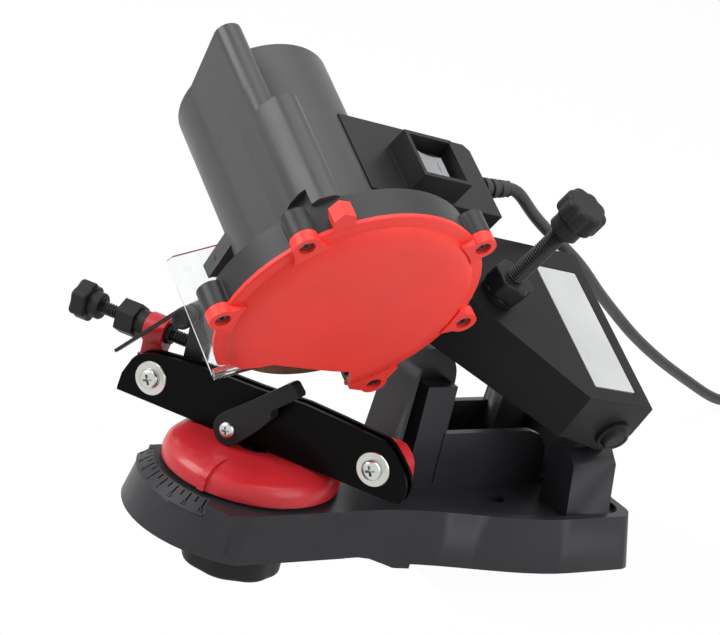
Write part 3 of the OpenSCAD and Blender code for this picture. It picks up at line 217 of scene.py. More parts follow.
@dataclass(frozen=True)
class Finish:
    """One finish, in the colour and gloss of a material slot."""

    slot: str
    texture: Texture
    colour: Triple
    roughness: float
    metallic: float = 0.0
    coat: float = 0.0
    grain: float = 0.5
    relief: float = 0.02
    specular: float = 0.5
    label: str = ""
    cloud: float = 28.0
    coat_roughness: float = 0.12

    def shade(self, amount: float) -> tuple[float, float, float, float]:
        """The colour, lighter for a factor above one."""
        return tuple(min(1.0, c * amount) for c in self.colour) + (1.0,)

    @cache
    def material(self) -> bpy.types.Material:
        """Makes the material once.

        Returns:
            The material that every piece of this finish shares.
        """
        bench = Bench(bpy.data.materials.new(self.label or self.slot))
        where = bench.node("ShaderNodeTexCoord", {}, {}, "Object")
        cloud = bench.noise(where, self.cloud, 3.0)
        fine = bench.noise(where, self.grain, 2.0, 0.6)
        colour, gloss, height = self.pattern(bench, where, cloud, fine)
        normal = bench.bump(height, self.relief)
        inputs = {
            "Base Color": colour,
            "Roughness": gloss,
            "Metallic": self.metallic,
            "Coat Weight": self.coat,
            "Coat Roughness": self.coat_roughness,
            "Specular IOR Level": self.specular,
            "Normal": normal,
        }
        if self.texture is Texture.SHEET:
            inputs |= {"Transmission Weight": 1.0, "IOR": 1.2, "Specular IOR Level": 0.6}
        shader = bench.node("ShaderNodeBsdfPrincipled", {}, inputs)
        bench.close(shader)
        bench.owner.diffuse_color = self.shade(1.0)
        return bench.owner

    def pattern(self, bench: Bench, where: Wire, cloud: Wire, fine: Wire) -> tuple[Wire, Wire, Wire]:
        """Colour, roughness and relief of the finish.

        Args:
            bench: The material in the making.
            where: Object coordinates.
            cloud: A broad pattern.
            fine: A pattern at the grain's size.

        Returns:
            Wires for the colour, the roughness and the height.
        """
        broad = bench.spread(cloud, 0.0, 1.0)
        near = bench.spread(fine, 0.0, 1.0)
        gloss = bench.spread(cloud, self.roughness - 0.05, self.roughness + 0.06)
        if self.texture is Texture.GRIT:
            size = {"Vector": where, "Scale": 1000 / self.grain}
            cells = bench.node("ShaderNodeTexVoronoi", {}, size, "Color")
            speck = bench.node("ShaderNodeSeparateColor", {}, {"Color": cells})
            colour = bench.blend(speck, self.shade(0.55), self.shade(1.9))
            return colour, gloss, speck + near * 0.5
        if self.texture is Texture.TURNED:
            lined = bench.node("ShaderNodeMapping", {}, {"Vector": where, "Scale": (1.0, 1.0, 9.0)})
            marks = bench.noise(lined, self.grain, 2.0)
            colour = bench.blend(bench.spread(marks, 0.0, 1.0), self.shade(0.8), self.shade(1.15))
            return colour, bench.spread(marks, self.roughness - 0.08, self.roughness + 0.12), marks
        if self.texture is Texture.SHEATH:
            dust = bench.spread(bench.noise(where, 9.0, 4.0), 0.0, 0.5, 0.5, 0.75)
            colour = bench.blend(dust, self.shade(1.0), self.shade(1.7))
            return colour, gloss, near
        if self.texture in (Texture.ENAMEL, Texture.PLATED):
            peel = bench.noise(where, 1.8, 1.0)
            colour = bench.blend(broad, self.shade(0.92), self.shade(1.06))
            return colour, gloss, peel + fine * 0.25
        colour = bench.blend(broad * 0.6 + near * 0.4, self.shade(0.88), self.shade(1.14))
        return colour, gloss, fine


BASE_BLACK = Finish(
    "base_black", Texture.SPARK, (0.021, 0.021, 0.0245), 0.36, grain=0.45, relief=0.012, specular=0.3,
)
HOUSING = Finish(
    "housing_black", Texture.SPARK, (0.055, 0.055, 0.057), 0.38, grain=0.4, relief=0.008, specular=0.3,
)
GUARD = replace(
    HOUSING, colour=(0.028, 0.0285, 0.03), roughness=0.4, specular=0.24, label="guard_black",
)
BOX_BLACK = replace(
    HOUSING, colour=(0.016, 0.0162, 0.0175), roughness=0.4, specular=0.2, label="box_black",
)
ARM_BLACK = replace(
    HOUSING, colour=(0.008, 0.008, 0.0092), roughness=0.42, specular=0.13, label="arm_black",
)
KNOB = Finish(
    "knob_black", Texture.SPARK, (0.009, 0.009, 0.0102), 0.5, grain=0.35, relief=0.015, specular=0.25,
)
STEEL = Finish("steel", Texture.TURNED, (0.56, 0.57, 0.58), 0.28, metallic=1.0, grain=0.6, relief=0.006)
# Steel darkened to a reddish near-black for the cover screws: painted shade of the deep holes in the cover's
# ears.
HOLE_SHADE_STEEL = replace(STEEL, colour=(0.1, 0.09, 0.09), roughness=0.4, label="steel_painted_hole_shade")
ZINC = Finish(
    "washer_zinc", Texture.PLATED, (0.62, 0.62, 0.58), 0.3, metallic=1.0, grain=0.7, relief=0.01,
)
NICKEL = Finish(
    "screw_chrome", Texture.PLATED, (0.6, 0.62, 0.6), 0.26, metallic=1.0, grain=0.8, relief=0.006,
)
OXIDE = Finish(
    "black_oxide", Texture.TURNED, (0.013, 0.013, 0.014), 0.36, metallic=0.4, grain=0.5, relief=0.01,
)
JAW = Finish(
    "jaw_black", Texture.POWDER, (0.0022, 0.0018, 0.0021), 0.3, coat=0.02,
    grain=0.7, relief=0.012, specular=0.06,
)
ENAMEL = Finish(
    "red_paint", Texture.ENAMEL, (0.56, 0.022, 0.03), 0.34, coat=0.16, specular=0.3,
    grain=0.6, relief=0.015,
)
RED = Finish(
    "red_plastic", Texture.SPARK, (0.95, 0.05, 0.038), 0.46, specular=0.3, grain=0.5, relief=0.008,
)
PALE = Finish("plate_pale", Texture.FILM, (0.53, 0.54, 0.54), 0.45, grain=0.3, relief=0.003)
CLEAR = Finish("clear_plastic", Texture.SHEET, (0.93, 0.95, 0.96), 0.08, grain=3.0, relief=0.03)
IRON = Finish("motor_iron", Texture.TURNED, (0.2, 0.2, 0.21), 0.5, metallic=0.8, grain=0.5, relief=0.02)
BROWN = Finish("brush_brown", Texture.SPARK, (0.25, 0.13, 0.06), 0.55)
NYLON = Finish("fan_black", Texture.SPARK, (0.03, 0.03, 0.031), 0.48)
GRIT = Finish("wheel_grit", Texture.GRIT, (0.13, 0.055, 0.035), 0.85, grain=0.45, relief=0.12)
GREY = Finish("rocker_grey", Texture.SPARK, (0.33, 0.34, 0.35), 0.35, grain=0.3, relief=0.006)
SHEATH = Finish("cord_rubber", Texture.SHEATH, (0.024, 0.024, 0.026), 0.55, grain=0.6, relief=0.02)
BRASS = Finish("brass", Texture.TURNED, (0.72, 0.53, 0.26), 0.28, metallic=1.0, grain=0.6, relief=0.006)
# Near-black ink with almost no gloss for the scale's marks and numbers: partly printed ink, partly painted
# shade of the engraved marks.
INK_AND_GROOVE_SHADE = Finish("base_black", Texture.SPARK, (0.001, 0.001, 0.001), 0.7, specular=0.02, label="scale_ink_and_groove_shade")


# ---------- shapes ----------


def round_off(mesh: bmesh.types.BMesh, edges: Sequence[bmesh.types.BMEdge], width: float, steps: int) -> None:
    """Rounds the given edges of a mesh."""
    bmesh.ops.bevel(
        mesh,
        geom=edges,
        offset=width,
        segments=steps,
        profile=0.5,
        affect="EDGES",
        material=-1,
        clamp_overlap=True,
    )


def spin_round(mesh: bmesh.types.BMesh, profile: Outline, sides: int, ring: bool = False) -> None:
    """Spins a profile of radius and height a full turn round the Z axis."""
    points = [mesh.verts.new((r, 0, z)) for r, z in profile]
    pairs = list(zip(points, points[1:])) + ([(points[-1], points[0])] if ring else [])
    edges = [mesh.edges.new(pair) for pair in pairs]
    bmesh.ops.spin(
        mesh,
        geom=points + edges,
        cent=(0, 0, 0),
        axis=(0, 0, 1),
        angle=math.tau,
        steps=sides,
        use_merge=True,
    )
    bmesh.ops.remove_doubles(mesh, verts=mesh.verts, dist=JOINED)


def add(name: str, data: bpy.types.ID) -> bpy.types.Object:
    """Puts new data into the scene as an object."""
    made = bpy.data.objects.new(name, data)
    bpy.context.scene.collection.objects.link(made)
    return made


def strand(
    name: str, points: Sequence[Vector], radius: float, rounds: int, steps: int, order: int
) -> bpy.types.Object:
    """Makes a round strand along a line of points.

    Args:
        name: The name of the object and of its curve.
        points: The line in the row frame, in millimetres.
        radius: Half its thickness in millimetres.
        rounds: How finely its section is rounded.
        steps: Steps between two points.
        order: How smoothly it runs past the points.

    Returns:
        The new object.
    """
    data = bpy.data.curves.new(name, "CURVE")
    data.dimensions = "3D"
    data.bevel_depth = radius * 0.001
    data.bevel_resolution = rounds
    data.resolution_u = steps
    data.use_fill_caps = True
    spline = data.splines.new("NURBS")
    spline.points.add(len(points) - 1)
    for knot, point in zip(spline.points, points):
        knot.co = (*(point * 0.001), 1.0)
    spline.order_u = order
    spline.use_endpoint_u = True
    return add(name, data)


class Blank:
    """A mesh in the making, in millimetres."""

    def __init__(self) -> None:
        """Starts with nothing."""
        self.mesh = bmesh.new()

    @classmethod
    def of_node(cls, node: str) -> "Blank":
        """Copies a solid and merges its loose triangles.

        Args:
            node: Its name.

        Returns:
            The copy, in the row frame.
        """
        blank = cls()
        mesh = blank.mesh
        mesh.from_mesh(frame["nodes"][node].data)
        bmesh.ops.transform(mesh, matrix=MM.inverted(), verts=mesh.verts)
        bmesh.ops.remove_doubles(mesh, verts=mesh.verts, dist=WELDED)
        bmesh.ops.dissolve_degenerate(mesh, edges=mesh.edges, dist=WELDED)
        bmesh.ops.dissolve_limit(mesh, angle_limit=math.radians(FLAT), verts=mesh.verts, edges=mesh.edges)
        return blank

    def drum(self, radius: float, low: float, high: float, place: Matrix = HERE, sides: int = 64) -> None:
        """Adds a round bar along the local Z axis."""
        at = place @ shift(0, 0, (low + high) / 2)
        size = {"radius1": radius, "radius2": radius, "depth": high - low}
        bmesh.ops.create_cone(self.mesh, cap_ends=True, segments=sides, matrix=at, **size)

    def block(self, low: Sequence[float], high: Sequence[float], place: Matrix = HERE) -> None:
        """Adds a straight block between two corners."""
        size = Vector(high) - Vector(low)
        middle = (Vector(high) + Vector(low)) / 2
        at = place @ Matrix.Translation(middle) @ Matrix.Diagonal((*size, 1.0))
        bmesh.ops.create_cube(self.mesh, size=1.0, matrix=at)

    def turned(self, profile: Outline, place: Matrix = HERE, sides: int = 64, ring: bool = False) -> None:
        """Spins a profile of radius and height round the local Z axis.

        Args:
            profile: Its points in order.
            place: Where the axis stands.
            sides: Steps of the full turn.
            ring: Whether the last point joins the first.
        """
        part = bmesh.new()
        spin_round(part, profile, sides, ring)
        self.take(part, place)

    def take(self, part: bmesh.types.BMesh, place: Matrix = HERE) -> None:
        """Adds a mesh, its faces outward, to this one and frees it."""
        bmesh.ops.recalc_face_normals(part, faces=part.faces)
        bmesh.ops.transform(part, matrix=place, verts=part.verts)
        held = bpy.data.meshes.new("held")
        part.to_mesh(held)
        part.free()
        self.mesh.from_mesh(held)
        bpy.data.meshes.remove(held)

    def slab(self, outline: Outline, low: float, high: float, place: Matrix = HERE) -> None:
        """Adds a flat outline pulled up from low to high."""
        part = bmesh.new()
        face = part.faces.new([part.verts.new((x, y, low)) for x, y in outline])
        made = bmesh.ops.extrude_face_region(part, geom=[face])
        top = [v for v in made["geom"] if isinstance(v, bmesh.types.BMVert)]
        bmesh.ops.translate(part, vec=(0, 0, high - low), verts=top)
        self.take(part, place)

    def lobed(
        self,
        radius: float,
        count: int,
        depth: float,
        low: float,
        high: float,
        soft: float,
        place: Matrix = HERE,
        narrow: float = 1.0,
    ) -> None:
        """Adds a knob with lobes or flutes.

        Args:
            radius: Over the lobes.
            count: How many lobes.
            depth: How far the hollows go in.
            low: Its foot.
            high: Its top.
            soft: Radius of its rounded edges.
            place: Where its axis stands.
            narrow: One for even lobes, more for narrow flutes.
        """
        part = bmesh.new()
        segments = count * 12
        rim = bmesh.ops.create_circle(part, cap_ends=True, segments=segments, radius=radius)["verts"]
        for vert in rim:
            dip = (0.5 - 0.5 * math.cos(count * math.atan2(vert.co.y, vert.co.x))) ** narrow
            vert.co *= 1 - depth * dip / radius
            vert.co.z = low
        made = bmesh.ops.extrude_face_region(part, geom=list(part.faces))
        top = [v for v in made["geom"] if isinstance(v, bmesh.types.BMVert)]
        bmesh.ops.translate(part, vec=(0, 0, high - low), verts=top)
        bmesh.ops.recalc_face_normals(part, faces=part.faces)
        edges = [e for e in part.edges if e.calc_face_angle(0) > 1.0]
        round_off(part, edges, soft, 4)
        self.take(part, place)

    def thread(
        self, core: float, crest: float, pitch: float, low: float, high: float, place: Matrix = HERE
    ) -> None:
        """Adds a threaded bar: a core and one closed helical ridge round it."""
        self.drum(core, low, high, place, sides=32)
        part = bmesh.new()
        steps = 24
        root, start = core - 0.15, low + 0.1
        corners = ((root, start), (crest, start + pitch * 0.46), (root, start + pitch * 0.92))
        face = part.faces.new([part.verts.new((r, 0, z)) for r, z in corners])
        turns = math.floor((high - low - pitch) / pitch)
        bmesh.ops.spin(
            part,
            geom=list(part.verts) + list(part.edges) + [face],
            cent=(0, 0, 0),
            axis=(0, 0, 1),
            angle=math.tau * turns,
            steps=steps * turns,
            dvec=(0, 0, pitch / steps),
        )
        self.take(part, place)

    def screw_head(self, radius: float, rise: float, place: Matrix = HERE) -> None:
        """Adds a domed head with a cross recess, its foot at the local origin."""
        part = bmesh.new()
        dome = ((0.0, 0.0), (1.0, 0.0), (1.0, 0.35), (0.93, 0.66), (0.78, 0.88), (0.58, 1.0))
        spin_round(part, [(radius * r, rise * z) for r, z in dome], 48)
        rim = [e for e in part.edges if len(e.link_faces) == 1]
        arm, half = radius * 0.5, radius * 0.13
        cross = []
        for quarter in range(4):
            spun = turn("Z", 90 * quarter)
            cross += [spun @ Vector((x, y, rise)) for x, y in ((half, half), (half, arm), (-half, arm))]
        corners = [part.verts.new(point) for point in cross]
        loop = [part.edges.new((a, b)) for a, b in zip(corners, corners[1:] + corners[:1])]
        bmesh.ops.triangle_fill(part, use_beauty=True, edges=rim + loop)
        made = bmesh.ops.extrude_edge_only(part, edges=loop)["geom"]
        floor = [v for v in made if isinstance(v, bmesh.types.BMVert)]
        for vert in floor:
            vert.co = Vector((vert.co.x * 0.62, vert.co.y * 0.62, rise * 0.25))
        bmesh.ops.contextual_create(part, geom=[g for g in made if not isinstance(g, bmesh.types.BMFace)])
        self.take(part, place)

    def soften(
        self, width: float, steps: int = 2, angle: float = 32, where: Callable[[Vector], bool] | None = None
    ) -> None:
        """Rounds the sharp edges.

        Args:
            width: How far back from the edge the rounding starts.
            steps: Faces across it.
            angle: Edges sharper than this many degrees are rounded.
            where: Tells from a point whether an edge there is rounded.
        """
        limit = math.radians(angle)
        edges = [
            e
            for e in self.mesh.edges
            if len(e.link_faces) == 2
            and e.calc_face_angle(0) > limit
            and (where is None or all(where(v.co) for v in e.verts))
        ]
        if edges:
            round_off(self.mesh, edges, width, steps)

    def finish(
        self,
        name: str,
        place: Matrix,
        finish: Finish,
        body: str,
        nodes: Sequence[str] = (),
        smooth: float = SHARP,
    ) -> bpy.types.Object:
        """Turns the blank into a piece.

        Args:
            name: The piece's name.
            place: The frame that the shape was made in.
            finish: Its finish.
            body: What it rides on.
            nodes: The solids that it stands for.
            smooth: Edges sharper than this stay sharp in shading.

        Returns:
            The finished object, at the origin, with its place in its mesh.
        """
        bmesh.ops.transform(self.mesh, matrix=MM @ place, verts=self.mesh.verts)
        data = bpy.data.meshes.new(name)
        self.mesh.to_mesh(data)
        self.mesh.free()
        data.shade_smooth()
        data.set_sharp_from_angle(angle=math.radians(smooth))
        return settle(add(name, data), finish, body, nodes)


def settle(piece: bpy.types.Object, finish: Finish, body: str, nodes: Sequence[str] = ()) -> bpy.types.Object:
    """Gives a new piece its finish, its body and the solids it stands for.

    Args:
        piece: The new object.
        finish: Its finish.
        body: What it rides on.
        nodes: The solids that it stands for.

    Returns:
        The same object.
    """
    piece.data.materials.append(finish.material())
    if piece.type == "MESH":
        weights = piece.modifiers.new("even_shading", "WEIGHTED_NORMAL")
        weights.keep_sharp = True
    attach(piece, body)
    if nodes:
        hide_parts(*nodes)
    return piece


def body_of(node: str) -> str:
    """The body that a solid rides on."""
    for body, nodes in frame["record"]["behaviour"]["bodies"].items():
        if node in nodes:
            return body
    raise KeyError(node)


def dress(node: str, finish: Finish, body: str, width: float, **options: object) -> None:
    """Makes a softened copy of a solid in place of it.

    Args:
        node: The solid's name.
        finish: Its finish.
        body: What it rides on.
        width: Size of its rounded edges in millimetres.
        options: Passed on to soften().
    """
    blank = Blank.of_node(node)
    blank.soften(width, **options)
    blank.finish(f"{node}_dressed", HERE, finish, body, [node])


def coat(node: str, finish: Finish) -> None:
    """Gives a carried-over solid its finish."""
    data = frame["nodes"][node].data
    data.materials.clear()
    data.materials.append(finish.material())
    data.shade_smooth()
    data.set_sharp_from_angle(angle=math.radians(SHARP))


# ---------- camera, lamps and bench ----------


@dataclass
class Studio:
    """Camera, lamps, pale bench top and white surroundings."""

    eye: Triple = (0.83487, -0.68652, 0.46655)
    right: Triple = (0.51254093, 0.8297446, 0.22096538)
    up: Triple = (-0.4028509, 0.00510846, 0.91525136)
    back: Triple = (0.75829608, -0.55811988, 0.33688165)
    film: float = 36.0
    lens: float = 128.714
    bench_edge: float = -0.0498
    bench_size: Triple = (4.0, 3.0, 0.03)
    shadow_share: float = 0.07
    world_level: float = 0.55
    aim: Triple = (0.0, -0.05, 0.08)

    def camera(self) -> None:
        """Sets up the camera."""
        data = bpy.data.cameras.new("camera")
        data.sensor_width = self.film
        data.sensor_fit = "HORIZONTAL"
        data.lens = self.lens
        data.clip_start = 0.01
        camera = add("camera", data)
        spun = Matrix((self.right, self.up, self.back)).transposed().to_4x4()
        camera.matrix_world = Matrix.Translation(self.eye) @ spun
        bpy.context.scene.camera = camera

    def lamp(self, name: str, at: Triple, size: float, watts: float) -> None:
        """Adds a square soft lamp that faces the machine."""
        data = bpy.data.lights.new(name, "AREA")
        data.size = size
        data.energy = watts
        lamp = add(name, data)
        spun = (Vector(self.aim) - Vector(at)).to_track_quat("-Z", "Y").to_matrix().to_4x4()
        lamp.matrix_world = Matrix.Translation(at) @ spun

    def seen_white(self, bench: Bench) -> Wire:
        """One where a ray comes from the camera, a gloss or a clear piece."""
        node = bench.tree.nodes.new("ShaderNodeLightPath")
        kinds = ("Camera", "Glossy", "Transmission")
        seen, gloss, clear = (Wire(bench, node.outputs[f"Is {kind} Ray"]) for kind in kinds)
        return bench.node("ShaderNodeMath", {"operation": "MINIMUM"}, {0: seen + gloss + clear, 1: 1.0})

    def surroundings(self) -> None:
        """White to the eye, softer as light."""
        world = bpy.data.worlds.new("surroundings")
        bpy.context.scene.world = world
        bench = Bench(world)
        seen = self.seen_white(bench)
        level = seen * (1.0 - self.world_level) + self.world_level
        shader = bench.node("ShaderNodeBackground", {}, {"Color": (1, 1, 1, 1), "Strength": level})
        bench.close(shader, "World")

    def bench_top(self) -> None:
        """A pale bench top that the base hooks over, white to the eye but for the shadow."""
        bench = Bench(bpy.data.materials.new("bench_top"))
        seen = self.seen_white(bench)
        plain = bench.node("ShaderNodeBsdfDiffuse", {}, {"Color": (0.86, 0.86, 0.86, 1)})
        white = bench.node("ShaderNodeEmission", {}, {"Color": (1, 1, 1, 1), "Strength": 1.0})
        facing = bench.node("ShaderNodeNewGeometry", {}, {}, "Normal")
        level = bench.node("ShaderNodeSeparateXYZ", {}, {"Vector": facing}, "Z")
        white_share = seen * (1.0 - level * self.shadow_share)
        mixed = bench.node("ShaderNodeMixShader", {}, {0: white_share, 1: plain, 2: white})
        bench.close(mixed)
        data = bpy.data.meshes.new("bench_top")
        shape = bmesh.new()
        _, depth, thick = self.bench_size
        middle = Matrix.Translation((0, self.bench_edge + depth / 2, -thick / 2))
        size = Matrix.Diagonal((*self.bench_size, 1.0))
        bmesh.ops.create_cube(shape, size=1.0, matrix=middle @ size)
        shape.to_mesh(data)
        shape.free()
        data.materials.append(bench.owner)
        top = add("bench_top", data)
        top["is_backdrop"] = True

    def build(self) -> None:
        """Makes the whole studio."""
        self.camera()
        self.surroundings()
        self.bench_top()
        self.lamp("window_left", (-0.7, -1.3, 1.0), 1.0, 21)
        self.lamp("window_right", (1.3, 0.5, 0.9), 1.0, 8)
        self.lamp("ceiling", (0.1, 0.1, 1.5), 1.2, 12)
        bpy.context.scene.view_settings.view_transform = "Standard"


# ---------- the mains lead ----------


@dataclass
class Lead:
    """The lead from the switch box to its plug, coiled behind the machine."""

    radius: float = 2.8
    ring: tuple[float, float] = (30.9, 25.1)
    layers: int = 4
    sides: int = 16
    entry: float = 37.0
    gland: Triple = (-52.0, 85.0, 7.2)
    middle: tuple[float, float] = (-60.0, 292.0)
    pin_half: float = 9.3

    def route(self) -> list[Vector]:
        """Centreline from the strain relief to the plug, in millimetres.

        Returns:
            The points in order.
        """
        points = [
            (-7.2, -4.96, 153.5), (-7.2, -2.6, 153.5), (-7.8, 2, 151.5), (-9, 8, 146.5),
            (-11, 15, 140.8), (-14, 24, 134.6), (-19, 40, 124.5), (-23, 57, 114),
            (-29, 72, 103.4), (-35, 86, 92.6), (-42, 103, 81), (-48, 119, 70),
            (-54, 135, 59.4), (-62, 159, 45.3), (-68, 177, 35.6), (-74, 195, 26.5),
            (-80, 212, 17.8), (-86, 228, 10), (-91, 243, 4.8), (-94.5, 258, 3.0),
            (-96.6, 275, 2.9), (-97, 292, 2.9),
        ]
        step = 360 / self.sides
        turns = 2 * self.layers
        floor, rise = 2.9, 5.75
        # Each layer takes two turns: the lead moves across in its middle and climbs at its end.
        for i in range(1, self.sides * turns + 1):
            angle = 180 - i * step
            done = i / self.sides
            layer = min(self.layers - 1, int(done // 2))
            part = done - 2 * layer
            outer, inner = self.ring
            start, end = (outer, inner) if layer % 2 == 0 else (inner, outer)
            across = start + (end - start) * self.ease((part - 0.75) / 0.5)
            level = floor + rise * (layer + self.ease((part - 1.72) / 0.28) * (layer < self.layers - 1))
            if done < 0.35:
                across = self.entry + (outer - self.entry) * self.ease(done / 0.35)
            points.append(self.on_ring(angle, across, level))
        top = floor + rise * (self.layers - 1)
        for i in range(1, 9):
            angle = 180 - i * step
            fall = self.ease(i / 8)
            across = outer + 5.9 * self.ease(i / 4.5)
            points.append(self.on_ring(angle, across, top + (floor - top) * fall))
        points += [(-23.2, 286, 3.1), (-23.3, 281.5, 3.8), (-23.4, 277.5, 5)]
        points += [(-23.4, 273.6, 6.9), (-23.4, 270.05, 6.9)]
        return [Vector(point) for point in points]

    def ease(self, value: float) -> float:
        """Runs smoothly from nought to one."""
        t = min(1.0, max(0.0, value))
        return t * t * (3 - 2 * t)

    def on_ring(self, angle: float, across: float, level: float) -> Triple:
        """A point of the coil."""
        a = math.radians(angle)
        return (self.middle[0] + across * math.cos(a), self.middle[1] + across * math.sin(a), level)

    def lead(self) -> tuple[bpy.types.Object, list[Vector]]:
        """Makes the lead as one smooth curve."""
        points = self.route()
        piece = strand("mains_lead_dressed", points, self.radius, 5, 4, 4)
        settle(piece, SHEATH, "base", ["mains_lead", "lead_coil", "lead_tail"])
        return piece, points

    def relief(self) -> None:
        """Tapered rubber sleeve with three grooves, where the lead leaves the box."""
        blank = Blank()
        profile = [(0.0, -6.0), (4.0, -6.0), (4.0, 0.0), (5.4, 0.0)]
        for i in range(4):
            foot = 4 + 4.5 * i
            wall = 5.4 - 0.09 * foot
            profile += [
                (wall, foot - 0.2), (wall - 0.2, foot), (3.45, foot + 0.15),
                (3.45, foot + 1.45), (wall - 0.4, foot + 1.6), (wall - 0.2, foot + 1.8),
            ]
        profile += [(3.7, 19.6), (3.4, 20.0), (0.0, 20.0)]
        blank.turned(profile, sides=48)
        place = HEAD @ shift(*self.gland) @ TO_Y
        blank.finish("strain_relief_dressed", place, SHEATH, "head", ["strain_relief"], 40)

    def plug(self) -> list[bpy.types.Object]:
        """Two-pole plug and its pins."""
        body = Blank()
        half = [(6, 0), (12.5, 9), (17.6, 20), (17.6, 34), (16, 36)]
        outline = [(-6, 0)] + half + [(-x, y) for x, y in reversed(half[1:])]
        body.slab(outline, -6.85, 6.85)
        body.soften(2.2, 4, 30)
        profile = [(0.0, -17.0), (3.4, -17.0), (3.6, -16.6)]
        for i in range(4):
            foot = -14.5 + 3.6 * i
            wall = 3.9 + 0.11 * (foot + 14.5)
            groove = wall - 0.7
            profile += [(wall, foot), (groove, foot + 0.3), (groove, foot + 1.2), (wall + 0.1, foot + 1.5)]
        profile += [(5.6, 1.0), (0.0, 1.5)]
        body.turned(profile, TO_Y, 40)
        for side in (-1, 1):
            body.drum(3.4, 35.5, 36.6, shift(side * self.pin_half, 0, 0) @ TO_Y, sides=32)
        plug = body.finish("mains_plug_dressed", PLUG, SHEATH, "base", ["mains_plug"], 40)
        pins = Blank()
        pin = [(0.0, 26.0), (2.0, 26.0), (2.0, 53.6), (1.7, 54.5), (1.0, 55.0), (0.0, 55.0)]
        for side in (-1, 1):
            pins.turned(pin, shift(side * self.pin_half, 0, 0) @ TO_Y, 32)
        return [plug, pins.finish("plug_pins_dressed", PLUG, BRASS, "base", ["plug_pins"])]

    def build(self) -> None:
        """Makes the lead and all that is on it."""
        lead, points = self.lead()
        ends = self.plug()
        self.relief()


# ---------- the base ----------


@dataclass
class Base:
    """Casting with its scale, and the hinge that it carries."""

    scale_in: float = 41.8
    scale_top: float = 24.6
    slope: float = 36.9
    reach: int = 35
    figure_size: float = 2.6
    skin: tuple[tuple[float, float], ...] = ((0.1, 0.05), (8.48, 0.05), (8.2, -0.5), (0.6, -0.5))

    def casting(self) -> None:
        """The casting, its edges rounded but for those of the scale."""
        blank = Blank.of_node("base_casting")
        blank.soften(0.6, 2, 40, self.off_scale)
        blank.finish("base_casting_dressed", HERE, BASE_BLACK, "base", ["base_casting"], 24)

    def off_scale(self, at: Vector) -> bool:
        """Tells whether a point lies away from the slanted face of the scale."""
        across = math.hypot(at.x, at.y - TABLE_Y)
        near = self.scale_in - 1 < across < self.scale_in + 9
        return not (near and at.z > 17 and at.y < TABLE_Y)

    def on_face(self, angle: float) -> Matrix:
        """The frame of the slanted face at an angle from its middle, X down the slope."""
        return turn("Z", angle - 90) @ shift(self.scale_in, 0, self.scale_top) @ turn("Y", self.slope)

    def face(self) -> None:
        """Smooth skin of the slanted face that bears the scale."""
        skin = bmesh.new()
        rows = []
        for step in range(2 * self.reach + 5):
            at = TABLE @ self.on_face(step - self.reach - 2)
            rows.append([skin.verts.new(at @ Vector((x, 0, z))) for x, z in self.skin])
        for near, far in zip(rows, rows[1:]):
            for i in range(4):
                skin.faces.new((near[i], near[(i + 1) % 4], far[(i + 1) % 4], far[i]))
        skin.faces.new(rows[0])
        skin.faces.new(list(reversed(rows[-1])))
        blank = Blank()
        blank.take(skin)
        blank.finish("scale_face", HERE, BASE_BLACK, "base")

    def figures(self) -> None:
        """Plain numbers beside the long marks of the scale, and ink in the marks; the near-black ink is
        partly painted shade of engraved marks.
        """
        marks = Blank()
        for angle in range(-self.reach, self.reach + 1, 5):
            long = abs(angle) % 10 == 5
            at = self.on_face(angle)
            marks.block((0.6, -0.34, -0.2), (5.0 if long else 3.5, 0.34, 0.1), at)
            if long:
                self.figure(marks, str(abs(angle)), at @ shift(6.3, 0, 0.06) @ turn("Z", 90))
        # The marks and numbers take the near-black ink, partly painted shade of engraved marks.
        marks.finish("scale_figures", TABLE, INK_AND_GROOVE_SHADE, "base")

    def figure(self, blank: Blank, words: str, place: Matrix) -> None:
        """Adds one number, its middle at the place, to a blank."""
        data = bpy.data.curves.new("number", "FONT")
        data.body = words
        data.size = self.figure_size
        data.extrude = 0.06
        data.align_x = "CENTER"
        data.align_y = "CENTER"
        data.resolution_u = 3
        made = add("number", data)
        graph = bpy.context.evaluated_depsgraph_get()
        flat = bpy.data.meshes.new_from_object(made.evaluated_get(graph))
        flat.transform(place)
        blank.mesh.from_mesh(flat)
        bpy.data.objects.remove(made)
        bpy.data.meshes.remove(flat)
        bpy.data.curves.remove(data)

    def hinge(self) -> None:
        """Pin, nut, push-on cap and spring."""
        coat("hinge_pin", STEEL)
        cap = Blank()
        cap.turned(
            [
                (0, 45.3), (8, 45.3), (8, 46.5), (7.7, 46.8), (6.7, 46.9), (6.4, 47.2),
                (6.2, 48.8), (5.6, 49.6), (4.6, 49.8), (4.2, 49.4), (0, 49.4),
            ],
            TO_X, 48,
        )
        cap.finish("hinge_cap_dressed", PIN, KNOB, "base", ["hinge_cap"])
        dress("hinge_nut", STEEL, "base", 0.3)
        self.spring()

    def spring(self) -> None:
        """Spring round the hinge pin, one leg at each end."""
        turns, sides, radius, half = 6, 20, 7, 14
        points = [(-half, -24, 10.6), (-half, -18, 9.0)]
        for i in range(turns * sides + 1):
            a = math.radians(150 + 360 * i / sides)
            along = -half + 2 * half * i / (turns * sides)
            points.append((along, radius * math.cos(a), radius * math.sin(a)))
        points += [(half, -11, -7.4), (half, -16, -13)]
        piece = strand("return_spring_dressed", [PIN @ Vector(point) for point in points], 1.0, 3, 2, 3)
        settle(piece, STEEL, "base", ["return_spring"])

    def build(self) -> None:
        """Makes the base."""
        self.casting()
        self.face()
        self.figures()
        self.hinge()


# ---------- the vise ----------


